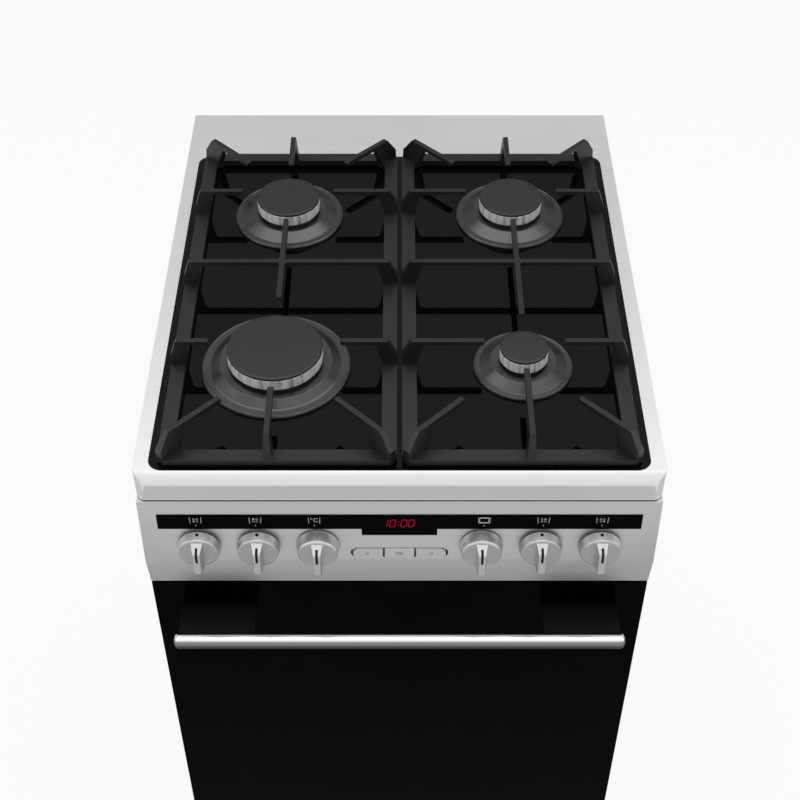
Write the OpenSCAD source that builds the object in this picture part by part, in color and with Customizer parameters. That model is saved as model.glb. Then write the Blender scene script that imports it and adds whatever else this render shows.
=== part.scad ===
// Freestanding gas cooker with an electric oven.
// X runs to the right, Y runs from front to rear and Z runs up from the floor.
// Inside the modules Y starts at the door's face, and place() moves all to the common origin.

/* [Body] */
// Width of the hob surround and of the whole cooker
body_w = 500; // [494:2:530]
// Depth from the door's face to the rear edge of the hob
body_d = 600; // [596:2:640]
// Height of the hob's steel top above the floor
body_h = 850; // [846:2:880]
// Thickness of the steel sheets
sheet_t = 1; // [0.8:0.1:1.2]
// Distance of the side panels inside the surround's skirts
side_inset = 1.5; // [1.4:0.1:3]
// Width of the bent flanges along the panels' edges
flange_w = 12.5; // [10:0.5:15]
// Overhang of the hob behind the rear panel
rear_recess = 30; // [28:1:36]
// Distance from the door's face to the front frame
frame_y = 40; // [40:0.5:44]

/* [Hob] */
// Drop of the surround's side skirts below its top
skirt_drop = 30; // [26:1:34]
// Drop of the rounded front edge below the top
nose_drop = 34; // [30:1:35]
// Radius of the rounded front edge
nose_r = 16; // [12:1:20]
// Inward lean of the front edge at its lower lip
nose_lean = 1.5; // [0:0.5:2]
// Radius of the surround's front corners in plan
corner_r = 14; // [10:1:20]
// Width of the steel strip at each side of the well
strip_side = 14; // [11:1:18]
// Width of the steel strip in front of the well
strip_front = 8; // [7:0.5:10]
// Width of the steel strip behind the well
strip_rear = 87.5; // [80:0.5:95]
// Corner radius of the well
well_r = 14; // [8:1:20]
// Width of the enamelled plate's edge under the steel sheet
plate_rim = 8; // [4:0.5:10]

/* [Burners] */
// Distance of the burners from the cooker's sides
burner_side = 126.5; // [125:0.5:130]
// Distance of the front burners behind the well's front edge
burner_front_in = 142.3; // [138:0.1:146]
// Distance of the rear burners in front of the well's rear edge
burner_rear_in = 114.5; // [111:0.5:120]
// Cap radius of the medium rear burners
cap_r_mid = 34.5; // [33:0.5:37]
// Cap radius of the large front burner
cap_r_large = 47.5; // [45:0.5:49]
// Cap radius of the small front burner
cap_r_small = 24; // [22:0.5:26]
// Skirt radius of the medium rear burners
skirt_r_mid = 60.5; // [56:0.5:62]
// Skirt radius of the large front burner
skirt_r_large = 75; // [70:0.5:76]
// Skirt radius of the small front burner
skirt_r_small = 50; // [46:0.5:54]
// Height of the crowns' underside above the steel top
crown_lift = 11.5; // [10:0.1:13]
// Height of the crowns' flame ring
crown_h = 11.5; // [9:0.5:13]
// Wall of the flame ring
crown_wall = 6; // [4:0.5:7]
// Flame slots around a medium crown
crown_slots = 36; // [24:4:48]
// Width of one flame slot
slot_w = 1.6; // [1:0.1:2]
// Gap between crown and cap
cap_gap = 0.7; // [0.4:0.1:1]
// Thickness of the caps
cap_t = 3; // [2:0.5:4]
// Depth of the burner cups below the plate
cup_depth = 34; // [28:1:36]
// Length of the injector boss below a cup
boss_len = 37; // [32:1:40]

/* [Grates] */
// Height of the grates' finger tops above the steel top
grate_lift = 35; // [32:1:38]
// Width of a grate's base rail
rail_w = 14.5; // [12:0.5:16]
// Height of a grate's base rail
rail_h = 7; // [5:0.5:8]
// Height of the rubber-tipped feet below the rail
grate_foot_h = 2; // [1.5:0.5:4]
// Thickness of the fingers
finger_t = 5.5; // [4:0.5:7]
// Depth of the fingers' webs
finger_h = 4.5; // [4:0.5:8]
// Outward lean of the legs in front and along the middle line
leg_lean = 8; // [6:0.5:9]
// Outward lean of the legs at the outer side
side_lean = 5.5; // [4:0.5:7]
// Outward lean of the legs at the rear
rear_lean = 4.7; // [4:0.1:7]
// Distance of a grate's inner rail from the middle line
grate_in = 2.5; // [2:0.5:5]
// Gap between a grate and the well's side
grate_side_gap = 9; // [7:0.5:11]
// Gap between a grate and the well's front edge
grate_front_gap = 5; // [4:0.5:8]
// Gap between a grate and the well's rear edge
grate_rear_gap = 5.5; // [3:0.5:8]
// Distance from a rear burner's centre to its finger tips
tip_mid = 50; // [48:0.5:54]
// Distance from the large burner's centre to its finger tips
tip_large = 65; // [62:0.5:68]
// Distance from the small burner's centre to its finger tips
tip_small = 39.5; // [36:0.5:44]

/* [Control panel] */
// Gap between the surround's front lip and the control panel
panel_top_gap = 2; // [1:0.5:4]
// Height of the panel's upper face, down to its fold
panel_upper = 78.5; // [76:0.5:84]
// Height of the panel's lower face, below the fold
panel_lower = 39.5; // [32:0.5:42]
// Distance of the fold in front of the door's face
panel_out = 6.5; // [4:0.5:8]
// Thickness of the panel's sheet
panel_t = 1.2; // [1:0.1:1.5]
// Distance of the knobs' axes down the upper face
knob_s = 56; // [55.5:0.5:58]
// Distance of the outer gas knobs from the cooker's sides
knob_side = 56; // [48:1:60]
// Distance between the button row and the oven knobs
knob_clear = 10.5; // [9:0.5:13]
// Radius of the knobs' skirts
knob_r = 21; // [19:0.5:21.5]
// Radius of the knobs' front faces
knob_face_r = 18.9; // [17.5:0.1:19.5]
// Lean of the knobs' front faces
knob_lean = 8; // [0:1:9]
// Height of a gas knob's disc at its middle
gas_disc = 8.7; // [8.5:0.1:10]
// Height of an oven knob's disc at its middle
oven_disc = 12.5; // [9:0.5:13]
// Height of a knob's grip above its disc
knob_grip = 12.5; // [10:0.5:15]
// Reach of the grip above the knob's axis
grip_up = 16.5; // [14:0.5:17]
// Reach of the grip below the knob's axis
grip_down = 17; // [14:0.5:18]
// Width of the grip's ridge
grip_w = 7; // [5:0.5:8]
// Gap behind the gas knobs, which takes their push
gas_knob_gap = 3.4; // [3.4:0.1:4]
// Gap behind the oven knobs
oven_knob_gap = 1.5; // [0.6:0.1:2]
// Radius of the gas spindles
gas_shaft_r = 4; // [3:0.25:4.5]
// Radius of the oven controls' shafts
oven_shaft_r = 3; // [2.5:0.25:4]
// Radial running clearance of shafts and pins
run_gap = 0.05; // [0.03:0.01:0.1]
// Distance of the display strip's ends from the cooker's sides
display_side = 18; // [12:1:25]
// Distance from the panel's top to the display strip
strip_s0 = 14; // [12:0.5:16]
// Height of the display strip
strip_h = 19.5; // [17:0.5:21]
// Half width of the strip's centre tab
tab_half = 38; // [34:1:44]
// Height of the centre tab below the strip
tab_h = 9; // [7:0.5:11]
// Thickness of the display strip
strip_t = 0.8; // [0.6:0.1:1]
// Distance from the panel's top to the buttons' middle
button_s = 67; // [66:0.5:69]
// Height of the buttons' slot
button_h = 13; // [11:0.5:14]
// Half width of the buttons' slot
button_half = 47.5; // [44:0.5:50]
// Distance of the gaps between buttons from the middle line
button_split = 15.2; // [12:0.1:18]
// Gap around the buttons
button_gap = 0.4; // [0.3:0.1:0.6]
// Height of the buttons above the panel
button_proud = 1.6; // [1.4:0.1:2]

/* [Door] */
// Height of the door's lower edge above the floor
door_z = 226; // [224:1:232]
// Gap between the door and the control panel
door_top_gap = 3; // [2:0.5:5]
// Gap between the door's side edge and the surround's side
door_side_gap = 1; // [0.5:0.5:3]
// Thickness of each of the door's panes
glass_t = 4; // [3:0.5:5]
// Depth of the door's frame between the panes
door_frame_t = 29; // [26:0.5:29]
// Distance of the hinge pin behind the door's face
hinge_y = 12; // [11.5:0.5:13]
// Height of the hinge pin above the door's lower edge
hinge_up = 6; // [5.5:0.5:7]
// Distance of the hinges from the cooker's sides
hinge_in = 35; // [29:1:37]
// Radius of the hinge pins
hinge_pin_r = 3; // [2.5:0.25:3.5]
// Radius of the handle's bar
handle_r = 8; // [6:0.5:10]
// Distance of the handle's ends from the cooker's sides
handle_in = 24; // [15:1:50]
// Distance of the handle's axis in front of the door
handle_out = 42; // [36:1:48]
// Distance of the handle's axis below the door's top
handle_down = 40; // [34:1:50]
// Width of the handle's brackets
bracket_w = 76; // [60:1:90]
// Thickness of the handle's brackets
bracket_t = 9; // [6:0.5:12]
// Distance of the brackets from the bar's ends
bracket_in = 4.5; // [2:0.5:12]

/* [Oven] */
// Distance from the cooker's sides to the oven's inside
oven_in = 52; // [51:1:60]
// Height inside the oven
oven_h = 350; // [340:2:360]
// Depth inside the oven
oven_d = 420; // [400:5:430]
// Height of the oven's floor above the floor of the room
oven_z = 270; // [264:1:276]
// Thickness of the insulation
wool_t = 26; // [20:1:30]
// Space for the lower element under the oven's floor
under_gap = 10; // [8:1:14]
// Radius of the heating elements
element_r = 3.25; // [3:0.25:4]
// Radius of the racks' rods
rack_r = 2.5; // [2:0.25:3]
// Height of the tray's level above the oven's floor
level_low = 90; // [80:5:110]
// Height of the shelf's level above the oven's floor
level_high = 200; // [180:5:240]
// Depth of the baking tray
tray_h = 40; // [30:2:50]

/* [Drawer] */
// Height of the drawer front's lower edge
drawer_z = 38; // [36:1:44]
// Gap between the door and the drawer front
drawer_gap = 9; // [8.5:0.5:12]
// Thickness of the drawer front
drawer_t = 22; // [18:1:26]
// Depth of the drawer's box
drawer_d = 470; // [420:5:480]
// Height of the drawer's box
drawer_h = 110; // [80:5:120]
// Gap between the drawer and its runners
drawer_run = 0.3; // [0.3:0.1:0.6]

/* [Base] */
// Height of the base frame's underside
base_z = 32; // [28:1:34]
// Height of the base frame's side walls
base_h = 28; // [24:1:28]
// Width of the base frame's members
base_w = 34; // [30:1:40]
// Thickness of the base frame's plates
base_t = 2; // [1.5:0.5:2.5]
// Radius of the feet
foot_r = 19; // [15:1:24]
// Height of a foot's pad
foot_h = 12; // [8:1:14]
// Radius of the feet's screws
foot_screw_r = 4; // [3:0.5:5]

/* [Hidden] */
$fn = 48;

steel = [0.80, 0.80, 0.80];
satin = [0.72, 0.72, 0.73];
black = [0.08, 0.08, 0.08];
iron = [0.20, 0.20, 0.21];
silver = [0.86, 0.86, 0.87];
brass = [0.78, 0.62, 0.30];
enamel = [0.14, 0.15, 0.17];
galvanised = [0.62, 0.64, 0.66];

hw = body_w / 2;
handle_reach = handle_out + handle_r;
y_mid = (body_d - handle_reach) / 2;
seat_gap = 0.3;
thin = 0.1;
over = 1;
edge_cut = 0.6;

// The well in the surround
well_x = hw - strip_side;
well_y0 = strip_front;
well_y1 = body_d - strip_rear;
nose_z = body_h - sqrt(nose_r * nose_r - pow(nose_r - strip_front, 2));
sheet_z = body_h - sheet_t;
plate_top = sheet_z;
plate_bottom = plate_top - sheet_t;
plate_y0 = ceil(10 * (nose_r - sqrt(pow(nose_r - sheet_t, 2) - pow(sheet_z - nose_z, 2)))) / 10 + seat_gap;

// The burners: centre, cap radius, skirt radius and number of flame slots
burner_x = hw - burner_side;
burner_front_y = well_y0 + burner_front_in;
burner_rear_y = well_y1 - burner_rear_in;
slots_step = 12;
BURNERS = [
    [[-burner_x, burner_rear_y], cap_r_mid, skirt_r_mid, crown_slots],
    [[burner_x, burner_rear_y], cap_r_mid, skirt_r_mid, crown_slots],
    [[-burner_x, burner_front_y], cap_r_large, skirt_r_large, crown_slots + slots_step],
    [[burner_x, burner_front_y], cap_r_small, skirt_r_small, crown_slots - slots_step]
];
cup_inset = 8;
cup_wall = 2;
crown_z = body_h + crown_lift;
crown_top = crown_z + crown_h;
cup_bottom = plate_bottom - cup_depth;
cup_flange = 6;
cup_floor = 3;
boss_r = 10;
jet_r = 4;
jet_len = 12;
jet_head = 4;
jet_bore_r = 1;
skirt_t = 1.2;
dome_drop = 0.6;
rim_lift = 2.8;
rim_round = 1.6;
slope_foot = 0.87;
slope_head = 0.68;
head_fall = 1.6;
crown_stub = 8;
crown_floor = 3;
cap_plug_in = 2;
electrode_r = 2.5;
electrode_out = 2;
electrode_tip = 7;
electrode_low = cup_bottom + 12;
probe_tip = 8;
probe_r = 1.6;
electrode_turn = 62;
probe_turn = 118;

// The grates
grate_top = body_h + grate_lift;
rail_z0 = plate_top + grate_foot_h;
rail_z1 = rail_z0 + rail_h;
grate_out = well_x - grate_side_gap;
grate_y0 = well_y0 + grate_front_gap;
grate_y1 = well_y1 - grate_rear_gap;
grate_corner = 6.3;
grate_inner_corner = 8;
web_z = grate_top - finger_h;
leg_w = 12.3;
diag_leg_w = 19;
diag_foot_w = 10.6;
leg_inset = 0.2;
leg_fillet = 2.5;
leg_break_z = body_h + 17.5;
leg_draft = 0.072;
tip_lean = 1;
knee_y0 = grate_y0 + leg_lean;
knee_y1 = grate_y1 - rear_lean;
knee_out = grate_out - side_lean;
knee_in = grate_in + leg_lean;
cross_y = (burner_front_y + burner_rear_y) / 2;
diag_l = 64;
diag_out = 11.2;
diag_in = 13;
diag_front = 11.9;
diag_rear = 10.2;
bar_x = burner_x - 0.5;
bar_rear_tip = burner_rear_y - tip_mid - 1.5;
centre_finger_rear = burner_rear_y + tip_mid;
foot_pad_r = 5;

// The control panel: a point on its face is given by its distance s down from the top
panel_z1 = body_h - nose_drop - panel_top_gap;
panel_y1 = -0.3;
panel_fold_z = panel_z1 - panel_upper;
panel_z0 = panel_fold_z - panel_lower;
panel_half = hw - door_side_gap;
panel_back = frame_y;
tilt = atan((panel_out + panel_y1) / panel_upper);
strip_half = hw - display_side;
knob_x1 = hw - knob_side;
knob_x3 = button_half + knob_clear + knob_r;
knob_x2 = (knob_x1 + knob_x3) / 2;
knob_bore = 11.9;
grip_flare = 3;
grip_knee = 10.6;
shaft_end = 0.3;
shaft_hole = 2;
gas_push = 3;
tap_r = 11;
tap_front = 8;
tap_back = 40;
tap_block = 18;
tap_floor = 8;
manifold_r = 8;
manifold_in = 50;
manifold_half = hw - 25;
outlet_in = 30;
outlet_r = 5;
outlet_up = 18;
pipe_r = 4;
pipe_gap = 0.5;
pipe_bend = 30;
outer_pipe_in = 2;
inner_pipe_out = 36;
low_pipe_z = cup_bottom - boss_len + 8;
high_pipe_z = low_pipe_z + 14;
manifold_leg = 12;
module_half = 56;
module_s0 = 10;
module_h = 68;
module_gap = 4;
module_t = 22;
module_posts = [5, 40];
clock_w = 40;
clock_h = 12;
clock_hole = [44, 14];
clock_s = strip_s0 + strip_h / 2 + 3;
thermostat_w = 34;
switch_w = 38;
control_t = 30;
button_flange = 1.5;
button_back = 0.9;
button_lap = 1.2;
button_stem = 6;
button_edge = button_split + button_gap;
button_mid = button_split - button_gap;
button_end = button_half - button_gap;

// The gas inlet
back_y = body_d - rear_recess;
inlet_x = manifold_half;
inlet_z = body_h - 50;
inlet_thread_r = 10.48;
inlet_len = 20;
inlet_hole_r = 12;
inlet_bore_len = 60;

// The side panels and frames
side_out = hw - side_inset;
side_in = side_out - sheet_t;
flange_x = side_in - flange_w;
frame_back = frame_y + sheet_t;
side_z0 = base_z + base_t;
side_y1 = back_y - sheet_t;
side_z1 = sheet_z - over;
rear_drop = 10;
frame_top_depth = 20;
frame_top_gap = 2;
drawer_open_x = side_in - 17;
drawer_open_gap = 6;
hinge_slot = 8;
louvre_cols = 9;
louvre_rows = 5;
louvre = [24, 5];
louvre_pitch = [35, 14];
louvre_down = 120;
bracket_half = 40;
bracket_up = 26;
bracket_r = 2.5;
terminal_in = 50;
terminal_w = 90;
terminal_h = 65;
terminal_t = 24;
terminal_up = 140;
gland_r = 9.5;
gland_len = 18;
spark_in = 50;
spark_w = 50;
spark_h = 38;
spark_t = 30;
spark_down = 112;

// The door
door_z1 = panel_z0 - door_top_gap;
door_half = hw - door_side_gap;
door_corner = 3;
door_inset = 2.5;
door_skin = 1.2;
door_back = glass_t + door_frame_t + glass_t;
door_frame_back = glass_t + door_frame_t;
hinge_x = hw - hinge_in;
hinge_z = door_z + hinge_up;
arm_t = 3;
arm_h = 12;
arm_eye = 6.2;
arm_len = 52;
arm_side = 1;
arm_over = 6;
hook_t = 8;
case_wall = 5;
case_half = arm_t / 2 + arm_side + case_wall;
case_h = 100;
handle_z = door_z1 - handle_down;
handle_half = hw - handle_in;
bracket_x = handle_half - bracket_in;
window_in = 24;
window_down = 28;
inner_glass_in = 26;
inner_glass_z0 = door_z + 26;
inner_glass_z1 = door_z1 - 34;

// The oven
oven_half = hw - oven_in;
oven_z1 = oven_z + oven_h;
oven_y0 = frame_back;
oven_y1 = oven_y0 + oven_d;
oven_flange = 13;
seal_in = 4;
seal_w = 9;
wool_gap = 0.2;
lamp_x = oven_half - 78;
lamp_down = 60;
lamp_r = 22;
lamp_hole_r = lamp_r - 4;
rack_x = oven_half - rack_r - 5;
rack_post_r = 2.5;
rack_post_in = 12;
rack_post_x = oven_half - rack_post_r - seat_gap;
rack_post_z0 = oven_z + 12;
rack_post_z1 = oven_z + level_high + 34;
rack_pitch = 14;
rack_step = 55;
rack_levels = [level_low - rack_step, level_low, level_high - rack_step, level_high];
rack_y0 = oven_y0 + 30;
rack_y1 = oven_y1 - 12;
shelf_r = 3;
shelf_bar_r = 2;
shelf_y0 = oven_y0 + 40;
shelf_y1 = oven_y1 - 14;
shelf_x = rack_x - 1.3;
shelf_bars = 11;
tray_side_gap = 3;
tray_half = rack_x - rack_r - tray_side_gap;
tray_flange_x = rack_x + 1.2;
tray_flange_y = 6;
tray_r = 18;
tray_t = 1;
grill_z = oven_z1 - 22;
element_runs = 4;
grill_pitch = 70;
grill_in = 70;
grill_plate = [14, 10];
grill_plate_t = 3;
bottom_pitch = 90;
bottom_in = 90;
bottom_end = 10;
bottom_element_z = oven_z - sheet_t - element_r - seat_gap;

// The drawer
drawer_z1 = door_z - drawer_gap;
drawer_half = door_half;
drawer_skin = 1.2;
runner_top = side_z0 + base_h;
drawer_box_z = runner_top + drawer_run;
drawer_box_half = drawer_open_x - 14;
runner_w = 12;
guide_gap = 1;
guide_t = 1.5;
guide_h = 18;
guide_end = 20;

// The base
base_y0 = frame_y - 8;
base_x = side_in - thin;
base_y1 = side_y1 - thin;
base_in_y0 = frame_back + sheet_t + seat_gap;
base_in_y1 = side_y1 - sheet_t - seat_gap;
base_lip_drop = 6;
foot_x = side_in - base_w / 2 - 6;
foot_y0 = base_y0 + base_w / 2 + 8;
foot_y1 = side_y1 - base_w / 2 - 8;
foot_boss_r = 9;
foot_boss_h = 12;
foot_screw_len = base_z + 18;
foot_step = [2, 3];
screw_r = 2;
screw_len = 12;
screw_head_r = 4;
screw_head_h = 2.4;
screw_x = side_in - flange_w / 2;
screw_rows = 4;
screw_z0 = side_z0 + 60;
screw_z1 = body_h - 90;

// Moves a part from the door's face to the common origin
module place() {
    translate([0, -y_mid, 0]) children();
}

// Puts children on the panel's upper face, with local Y up the face and local Z outwards
module on_panel(x, s) {
    translate([x, panel_y1, panel_z1]) rotate([90 - tilt, 0, 0]) translate([0, -s, 0]) children();
}

// The room position of a point on the panel, a depth d behind its face
function panel_point(x, s, d) = [
    x,
    panel_y1 - s * sin(tilt) + d * cos(tilt),
    panel_z1 - s * cos(tilt) - d * sin(tilt)
];

// A rectangle with round corners between two corner points
module round_rect(p, q, r) {
    translate([p.x + r, p.y]) square([q.x - p.x - 2 * r, q.y - p.y]);
    translate([p.x, p.y + r]) square([q.x - p.x, q.y - p.y - 2 * r]);
    for (x = [p.x + r, q.x - r], y = [p.y + r, q.y - r]) translate([x, y]) circle(r = r);
}

// A box between two corner points
module box(p, q) {
    translate(p) cube(q - p);
}

// A pair of pieces, one on each side of the middle plane
module both_sides() {
    children();
    mirror([1, 0, 0]) children();
}

// A round bar between two points
module rod(a, b, r) {
    d = b - a;
    l = norm(d);
    translate(a) rotate([0, acos(d.z / l), atan2(d.y, d.x)]) cylinder(h = l, r = r);
}

// A bent pipe through a list of points, with a slightly larger ball at each bend
module pipe(points, r) {
    for (i = [0 : len(points) - 2]) rod(points[i], points[i + 1], r);
    for (i = [1 : len(points) - 2]) translate(points[i]) sphere(r = r + thin);
}

// Draws a side outline, given in Y and Z, across the cooker
module across(w) {
    rotate([90, 0, 90]) linear_extrude(w, center = true) children();
}

module surround_side(e, drop) {
    intersection() {
        union() {
            translate([nose_r, nose_z]) circle(r = nose_r - e);
            polygon([
                [e, nose_z], [nose_lean + e, body_h - nose_drop - drop],
                [nose_r + over, body_h - nose_drop - drop], [nose_r + over, nose_z]
            ]);
            translate([nose_r, body_h - skirt_drop - drop])
                square([body_d - nose_r - e, skirt_drop + drop]);
        }
        translate([-over, body_h - nose_drop - over])
            square([body_d + 2 * over, nose_drop + over - e]);
    }
}

module surround_plan(e) {
    translate([-hw + e, corner_r]) square([body_w - 2 * e, body_d - corner_r - e]);
    translate([-hw + corner_r, e]) square([body_w - 2 * corner_r, corner_r]);
    for (s = [-1, 1]) translate([s * (hw - corner_r), corner_r]) circle(r = corner_r - e);
}

module surround_body(e, drop) {
    intersection() {
        across(body_w) surround_side(e, drop);
        translate([0, 0, body_h - nose_drop - over]) linear_extrude(nose_drop + 2 * over)
            surround_plan(e);
    }
}

module hob_surround() {
    place() color(steel) difference() {
        surround_body(0, 0);
        surround_body(sheet_t, over);
        translate([0, 0, sheet_z - 4]) linear_extrude(6)
            round_rect([-well_x, well_y0], [well_x, well_y1], well_r);
    }
}

module hob_plate() {
    place() color(black) difference() {
        translate([0, 0, plate_bottom]) linear_extrude(sheet_t) round_rect(
            [-well_x - plate_rim, plate_y0], [well_x + plate_rim, well_y1 + plate_rim], well_r / 2
        );
        for (b = BURNERS) translate([b[0].x, b[0].y, plate_bottom - over])
            cylinder(h = sheet_t + 2 * over, r = b[1] - cup_inset + seat_gap);
        for (b = BURNERS) for (turn = [electrode_turn, probe_turn])
            beside_burner(b, turn, plate_bottom - over)
                cylinder(h = sheet_t + 2 * over, r = electrode_r + seat_gap);
    }
}

// Children at the rim of a burner's crown, turned about the burner's axis
module beside_burner(b, turn, z) {
    translate([b[0].x, b[0].y, z]) rotate([0, 0, turn])
        translate([b[1] + electrode_r + electrode_out, 0, 0]) children();
}

module burner_cups() {
    place() color(silver) for (b = BURNERS) translate([b[0].x, b[0].y, 0]) {
        r = b[1] - cup_inset;
        difference() {
            union() {
                translate([0, 0, cup_bottom]) cylinder(h = crown_z - cup_bottom, r = r);
                translate([0, 0, cup_bottom - boss_len]) cylinder(h = boss_len + over, r = boss_r);
            }
            translate([0, 0, cup_bottom + cup_floor]) cylinder(h = crown_z, r = r - cup_wall);
            translate([0, 0, cup_bottom - jet_len]) cylinder(h = crown_z, r = jet_r);
        }
    }
}

module clamp_rings() {
    place() color(galvanised) for (b = BURNERS)
        translate([b[0].x, b[0].y, plate_bottom - cup_floor]) difference() {
            r = b[1] - cup_inset;
            cylinder(h = cup_floor, r = r + cup_flange);
            translate([0, 0, -over]) cylinder(h = cup_floor + 2 * over, r = r);
        }
}

module gas_jets() {
    place() color(brass) for (b = BURNERS) translate([b[0].x, b[0].y, 0]) difference() {
        union() {
            translate([0, 0, cup_bottom - jet_len])
                cylinder(h = jet_len + cup_floor + over, r = jet_r - thin);
            translate([0, 0, cup_bottom + cup_floor]) cylinder(h = jet_head, r = jet_r + 2);
        }
        translate([0, 0, cup_bottom - jet_len - over])
            cylinder(h = jet_len + cup_floor + jet_head + 2 * over, r = jet_bore_r);
    }
}

module burner_skirts() {
    place() color(black) for (b = BURNERS) difference() {
        r = b[2];
        hole = b[1] - cup_inset + seat_gap;
        head = crown_z - dome_drop;
        rim = body_h + rim_lift;
        translate([b[0].x, b[0].y, 0]) rotate_extrude($fn = 96) polygon([
            [hole, head], [b[1] + over, head], [slope_head * r, head - head_fall],
            [slope_foot * r, rim], [r - 2, rim], [r, rim - rim_round], [r, plate_top],
            [r - skirt_t, plate_top], [r - skirt_t, rim - rim_round - skirt_t / 3],
            [slope_foot * r - skirt_t / 2, rim - skirt_t],
            [slope_head * r - skirt_t / 2, head - head_fall - skirt_t],
            [b[1] + over / 2, head - skirt_t], [hole, head - skirt_t]
        ]);
        for (turn = [electrode_turn, probe_turn])
            beside_burner(b, turn, plate_top) cylinder(h = crown_top - plate_top, r = electrode_r + seat_gap);
    }
}

module burner_crowns() {
    place() color(silver) for (b = BURNERS) translate([b[0].x, b[0].y, 0]) difference() {
        r = b[1];
        stub_r = b[1] - cup_inset - cup_wall - 0.2;
        union() {
            translate([0, 0, crown_z]) cylinder(h = crown_h, r = r, $fn = 96);
            translate([0, 0, crown_z - crown_stub]) cylinder(h = crown_stub + over, r = stub_r);
        }
        translate([0, 0, crown_z + crown_floor]) cylinder(h = crown_h, r = r - crown_wall);
        translate([0, 0, crown_z - crown_stub - over])
            cylinder(h = crown_stub + crown_h, r = stub_r - crown_floor);
        for (i = [0 : b[3] - 1]) rotate([0, 0, 360 * (i + 0.5) / b[3]])
            translate([r - crown_wall / 2, -slot_w / 2, crown_z + crown_floor + over])
                cube([crown_wall, slot_w, crown_h]);
    }
}

module burner_caps() {
    place() color(iron) for (b = BURNERS) translate([b[0].x, b[0].y, crown_top])
        rotate_extrude($fn = 96) polygon([
            [0, 0], [b[1] - cap_plug_in, 0], [b[1] - cap_plug_in, cap_gap], [b[1], cap_gap],
            [b[1], cap_gap + cap_t - 1], [b[1] - 1, cap_gap + cap_t - 0.2],
            [b[1] - 2 * cap_plug_in, cap_gap + cap_t], [0, cap_gap + cap_t + 0.4]
        ]);
}

module spark_electrodes() {
    place() color([0.92, 0.91, 0.88]) for (b = BURNERS) {
        beside_burner(b, electrode_turn, electrode_low)
            cylinder(h = crown_z + over - electrode_low, r = electrode_r);
        beside_burner(b, electrode_turn, crown_z) cylinder(h = electrode_tip, r = 1);
    }
}

module thermocouples() {
    place() color([0.72, 0.52, 0.38]) for (b = BURNERS) {
        beside_burner(b, probe_turn, electrode_low)
            cylinder(h = crown_z - electrode_low, r = electrode_r);
        beside_burner(b, probe_turn, crown_z - over) cylinder(h = probe_tip, r = probe_r);
    }
}

module gas_manifold() {
    at = panel_point(0, knob_s, manifold_in);
    place() color(galvanised) {
        difference() {
            union() {
                rod([-manifold_half, at.y, at.z], [manifold_half, at.y, at.z], manifold_r);
                pipe([
                    [inlet_x, at.y, at.z], [inlet_x, at.y, inlet_z], [inlet_x, at.y + pipe_bend, inlet_z]
                ], manifold_r - 1);
                translate([inlet_x, at.y, at.z]) sphere(r = manifold_r + thin);
                rod([inlet_x, at.y + pipe_bend, inlet_z], [inlet_x, back_y + 2 * over, inlet_z],
                    manifold_r - 1);
                rod([inlet_x, back_y + over, inlet_z], [inlet_x, back_y + over + inlet_len, inlet_z],
                    inlet_thread_r);
                both_sides() box(
                    [(knob_x1 + knob_x2 - manifold_leg) / 2, at.y - 2, panel_z0],
                    [(knob_x1 + knob_x2 + manifold_leg) / 2, at.y + 2, at.z]
                );
            }
            rod([inlet_x, body_d - inlet_bore_len, inlet_z], [inlet_x, body_d, inlet_z],
                manifold_r - 3);
        }
    }
}

module gas_taps() {
    place() color(silver) for (x = [-knob_x1, -knob_x2, knob_x2, knob_x1]) on_panel(x, knob_s)
        difference() {
            union() {
                translate([0, 0, -tap_back]) cylinder(h = tap_back - tap_front, r = tap_r);
                translate([-tap_block / 2, -tap_block / 2, -manifold_in])
                    cube([tap_block, tap_block, manifold_in - tap_back + over]);
                translate([0, 0, -outlet_in]) rotate([-90, 0, 0])
                    cylinder(h = outlet_up, r = outlet_r);
            }
            translate([0, 0, -tap_back + tap_floor]) cylinder(h = tap_back, r = gas_shaft_r + run_gap);
            translate([-tap_block, 0, -manifold_in]) rotate([0, 90, 0])
                cylinder(h = 2 * tap_block, r = manifold_r + thin);
        }
}

// One pipe from a tap to the injector boss of its burner
module burner_pipe(x, turn_x, burner, z) {
    start = panel_point(x, knob_s - outlet_up - pipe_gap, outlet_in);
    centre = burner[0];
    end_x = centre.x + sign(turn_x - centre.x) * (boss_r + seat_gap);
    pipe([
        start, [x, start.y, z], [turn_x, start.y + pipe_bend, z],
        [turn_x, centre.y, z], [end_x, centre.y, z]
    ], pipe_r);
}

module burner_pipes() {
    place() color([0.80, 0.80, 0.78]) both_sides() {
        burner_pipe(-knob_x1, outer_pipe_in - knob_x1, BURNERS[2], high_pipe_z);
        burner_pipe(-knob_x2, -burner_x - inner_pipe_out, BURNERS[0], low_pipe_z);
    }
}

module panel_side(e, back) {
    polygon([
        [panel_y1 + e, panel_z1 - e], [-panel_out + e, panel_fold_z], [e, panel_z0 + e],
        [panel_back + back, panel_z0 + e], [panel_back + back, panel_z1 - e]
    ]);
}

module button_slot(e) {
    r = button_h / 2 - e;
    translate([-button_half + e + r, -r]) square([2 * (button_half - e - r), 2 * r]);
    for (s = [-1, 1]) translate([s * (button_half - e - r), 0]) circle(r = r);
}

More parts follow.
